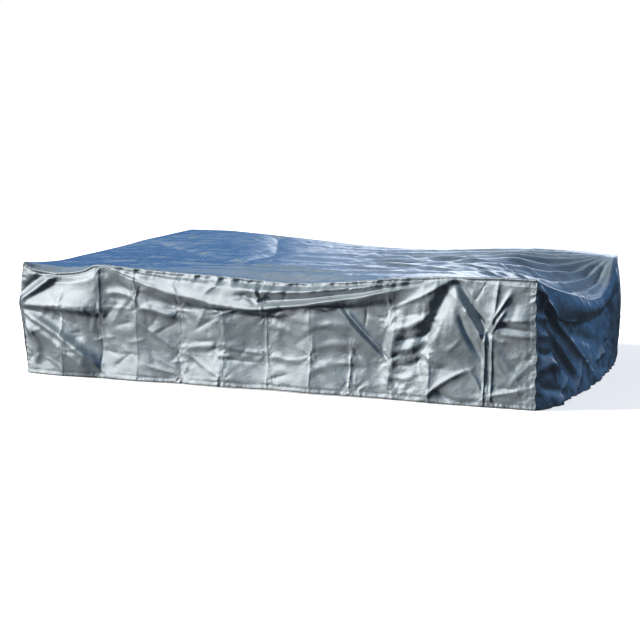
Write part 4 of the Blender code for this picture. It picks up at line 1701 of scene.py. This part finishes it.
@dataclass
class Studio:
    """A plain pale floor, soft light from the front left and sky from above."""

    floor_size: float = 60.0
    floor_colour: str = "#fcfcfb"
    floor_roughness: float = 0.9
    floor_glow: float = 0.66    # keeps the cast shadow faint
    fill: float = 0.17
    fill_colour: str = "#c6d0de"
    lamps: tuple[Lamp, ...] = (
        Lamp("key", 8.0, "#fffcf6", 7.0, 21.0, -62.0),
        Lamp("sky_window", 1.1, "#a3bbe8", 10.0, 26.0, 132.0),
    )
    window: Glow = Glow((-0.66, -0.60, 0.45), 0.74, 0.97, 4.8)
    window_colour: str = "#fffaf3"
    cloud: Glow = Glow((-0.16, 0.97, 0.17), 0.950, 0.990, 1.0)
    cloud_light: tuple[float, float, float, float] = (1.5, 1.62, 1.8, 1.0)   # past white
    eye: tuple[float, float, float] = (3.320, -7.772, 1.286)
    heading: float = 23.8       # degrees from +Y towards -X
    dip: float = 6.64           # degrees below level
    lens: float = 73.75
    film: float = 36.0

    def floor(self) -> None:
        """Lay the floor."""
        bpy.ops.object.select_all(action="DESELECT")
        bpy.ops.mesh.primitive_plane_add(size=self.floor_size, location=(0, 0, 0))
        plane = bpy.context.object
        plane.name = "studio_floor"
        made = bpy.data.materials.new("painted_floor")
        made.use_nodes = True
        inputs = made.node_tree.nodes["Principled BSDF"].inputs
        inputs["Base Color"].default_value = linear(self.floor_colour)
        inputs["Roughness"].default_value = self.floor_roughness
        inputs["Emission Color"].default_value = linear(self.floor_colour)
        inputs["Emission Strength"].default_value = self.floor_glow
        plane.data.materials.append(made)
        plane.visible_diffuse = False
        plane.visible_glossy = False

    def lamp(self, lamp: Lamp) -> None:
        """Hang one of the broad, distant lamps.

        Args:
            lamp: its sizes and its place.
        """
        data = bpy.data.lights.new(lamp.name, "SUN")
        data.angle = math.radians(lamp.spread)
        data.energy = lamp.power
        data.color = linear(lamp.colour)[:3]
        hung = bpy.data.objects.new(lamp.name, data)
        bpy.context.scene.collection.objects.link(hung)
        hung.visible_glossy = False
        hung.rotation_euler = (math.radians(90 - lamp.height), 0.0, math.radians(lamp.heading))

    def mirrored(
        self, tree: bpy.types.NodeTree, way: bpy.types.NodeSocket, rise: bpy.types.NodeSocket
    ) -> bpy.types.NodeSocket:
        """Build the sky that the cloth mirrors: blue, with a bright window and a cloud.

        Args:
            tree: the world's tree.
            way: the way that is looked in.
            rise: how far up that is, -1 to 1.

        Returns:
            The sky's light.
        """
        height = add_node(
            tree, "ShaderNodeMapRange", {}, {"Value": rise, "From Min": -1.0}
        ).outputs[0]
        ramp = add_node(tree, "ShaderNodeValToRGB", {}, {"0": height})
        stops = ramp.color_ramp.elements
        stops[1].position = SKY[-1].place
        for row in SKY[1:-1]:
            stops.new(row.place)
        for stop, row in zip(stops, SKY):
            stop.color = linear(row.colour)
        lit = add_node(
            tree, "ShaderNodeMix", {"data_type": "RGBA", "blend_type": "ADD"},
            {"0": self.window.strength(tree, way), "6": ramp.outputs["Color"],
             "7": linear(self.window_colour)},
        )
        lit.clamp_factor = False
        both = add_node(
            tree, "ShaderNodeMix", {"data_type": "RGBA"},
            {"0": self.cloud.strength(tree, way), "6": lit.outputs[2], "7": self.cloud_light},
        ).outputs[2]
        return add_node(tree, "ShaderNodeBackground", {}, {"Color": both}).outputs[0]

    def sky(self) -> None:
        """Light the room: white to the eye, and to the cloth pale low down and blue above."""
        world = bpy.data.worlds.new("soft_sky")
        bpy.context.scene.world = world
        world.use_nodes = True
        tree = world.node_tree
        tree.nodes.clear()
        way = add_node(tree, "ShaderNodeTexCoord").outputs["Generated"]
        rise = add_node(tree, "ShaderNodeSeparateXYZ", {}, {"0": way}).outputs["Z"]
        above = add_node(
            tree, "ShaderNodeMath", {"operation": "GREATER_THAN"}, {"0": rise, "1": 0.0}
        ).outputs[0]
        shade = add_node(
            tree, "ShaderNodeMix", {"data_type": "RGBA"},
            {"0": above, "6": linear(GROUND), "7": linear(self.fill_colour)},
        ).outputs[2]
        soft = add_node(
            tree, "ShaderNodeBackground", {}, {"Color": shade, "Strength": self.fill}
        ).outputs[0]
        white = add_node(
            tree, "ShaderNodeBackground", {}, {"Color": linear("#ffffff")}
        ).outputs[0]
        ray = add_node(tree, "ShaderNodeLightPath").outputs
        light = add_node(
            tree, "ShaderNodeMixShader", {},
            {"0": ray["Is Glossy Ray"], "1": soft, "2": self.mirrored(tree, way, rise)},
        ).outputs[0]
        both = add_node(
            tree, "ShaderNodeMixShader", {}, {"0": ray["Is Camera Ray"], "1": light, "2": white}
        ).outputs[0]
        add_node(tree, "ShaderNodeOutputWorld", {}, {"Surface": both})

    def camera(self) -> None:
        """Set the camera."""
        data = bpy.data.cameras.new("camera")
        data.lens = self.lens
        data.sensor_width = self.film
        eye = bpy.data.objects.new("camera", data)
        bpy.context.scene.collection.objects.link(eye)
        eye.location = self.eye
        eye.rotation_euler = (math.radians(90 - self.dip), 0.0, math.radians(self.heading))
        bpy.context.scene.camera = eye

    def build(self) -> None:
        """Set up the floor, lights, sky and camera."""
        self.floor()
        for lamp in self.lamps:
            self.lamp(lamp)
        self.sky()
        self.camera()
        bpy.context.scene.view_settings.view_transform = "Standard"


def main() -> None:
    """Build the cover and the studio around it."""
    logging.basicConfig(level=logging.INFO)
    Studio().build()
    cloth = CoatedTaffeta().material()
    sides = ("front_cloth", "right_cloth", "back_cloth", "left_cloth")
    panels: list[Panel] = [
        TopPanel("top_panel", LENGTH, WIDTH, (270, 176), cloth, sides),
        FrontPanel("front_panel", LENGTH, HEIGHT, (440, 108), cloth, ("top_cloth",)),
        RightPanel("right_panel", WIDTH, HEIGHT, (280, 100), cloth, ("top_cloth",)),
        BackPanel("back_panel", LENGTH, PLAIN_HEIGHT, (300, 70), cloth, ("top_cloth",),
                  rows=BACK, seed=300),
        LeftPanel("left_panel", WIDTH, PLAIN_HEIGHT, (200, 70), cloth, ("top_cloth",),
                  rows=LEFT, seed=400),
    ]
    for panel in panels:
        piece = panel.build()
        LOG.info("%s: %d points", piece.name, len(piece.data.vertices))
    for panel in panels:
        panel.declare()


if __name__ == "__main__":
    main()
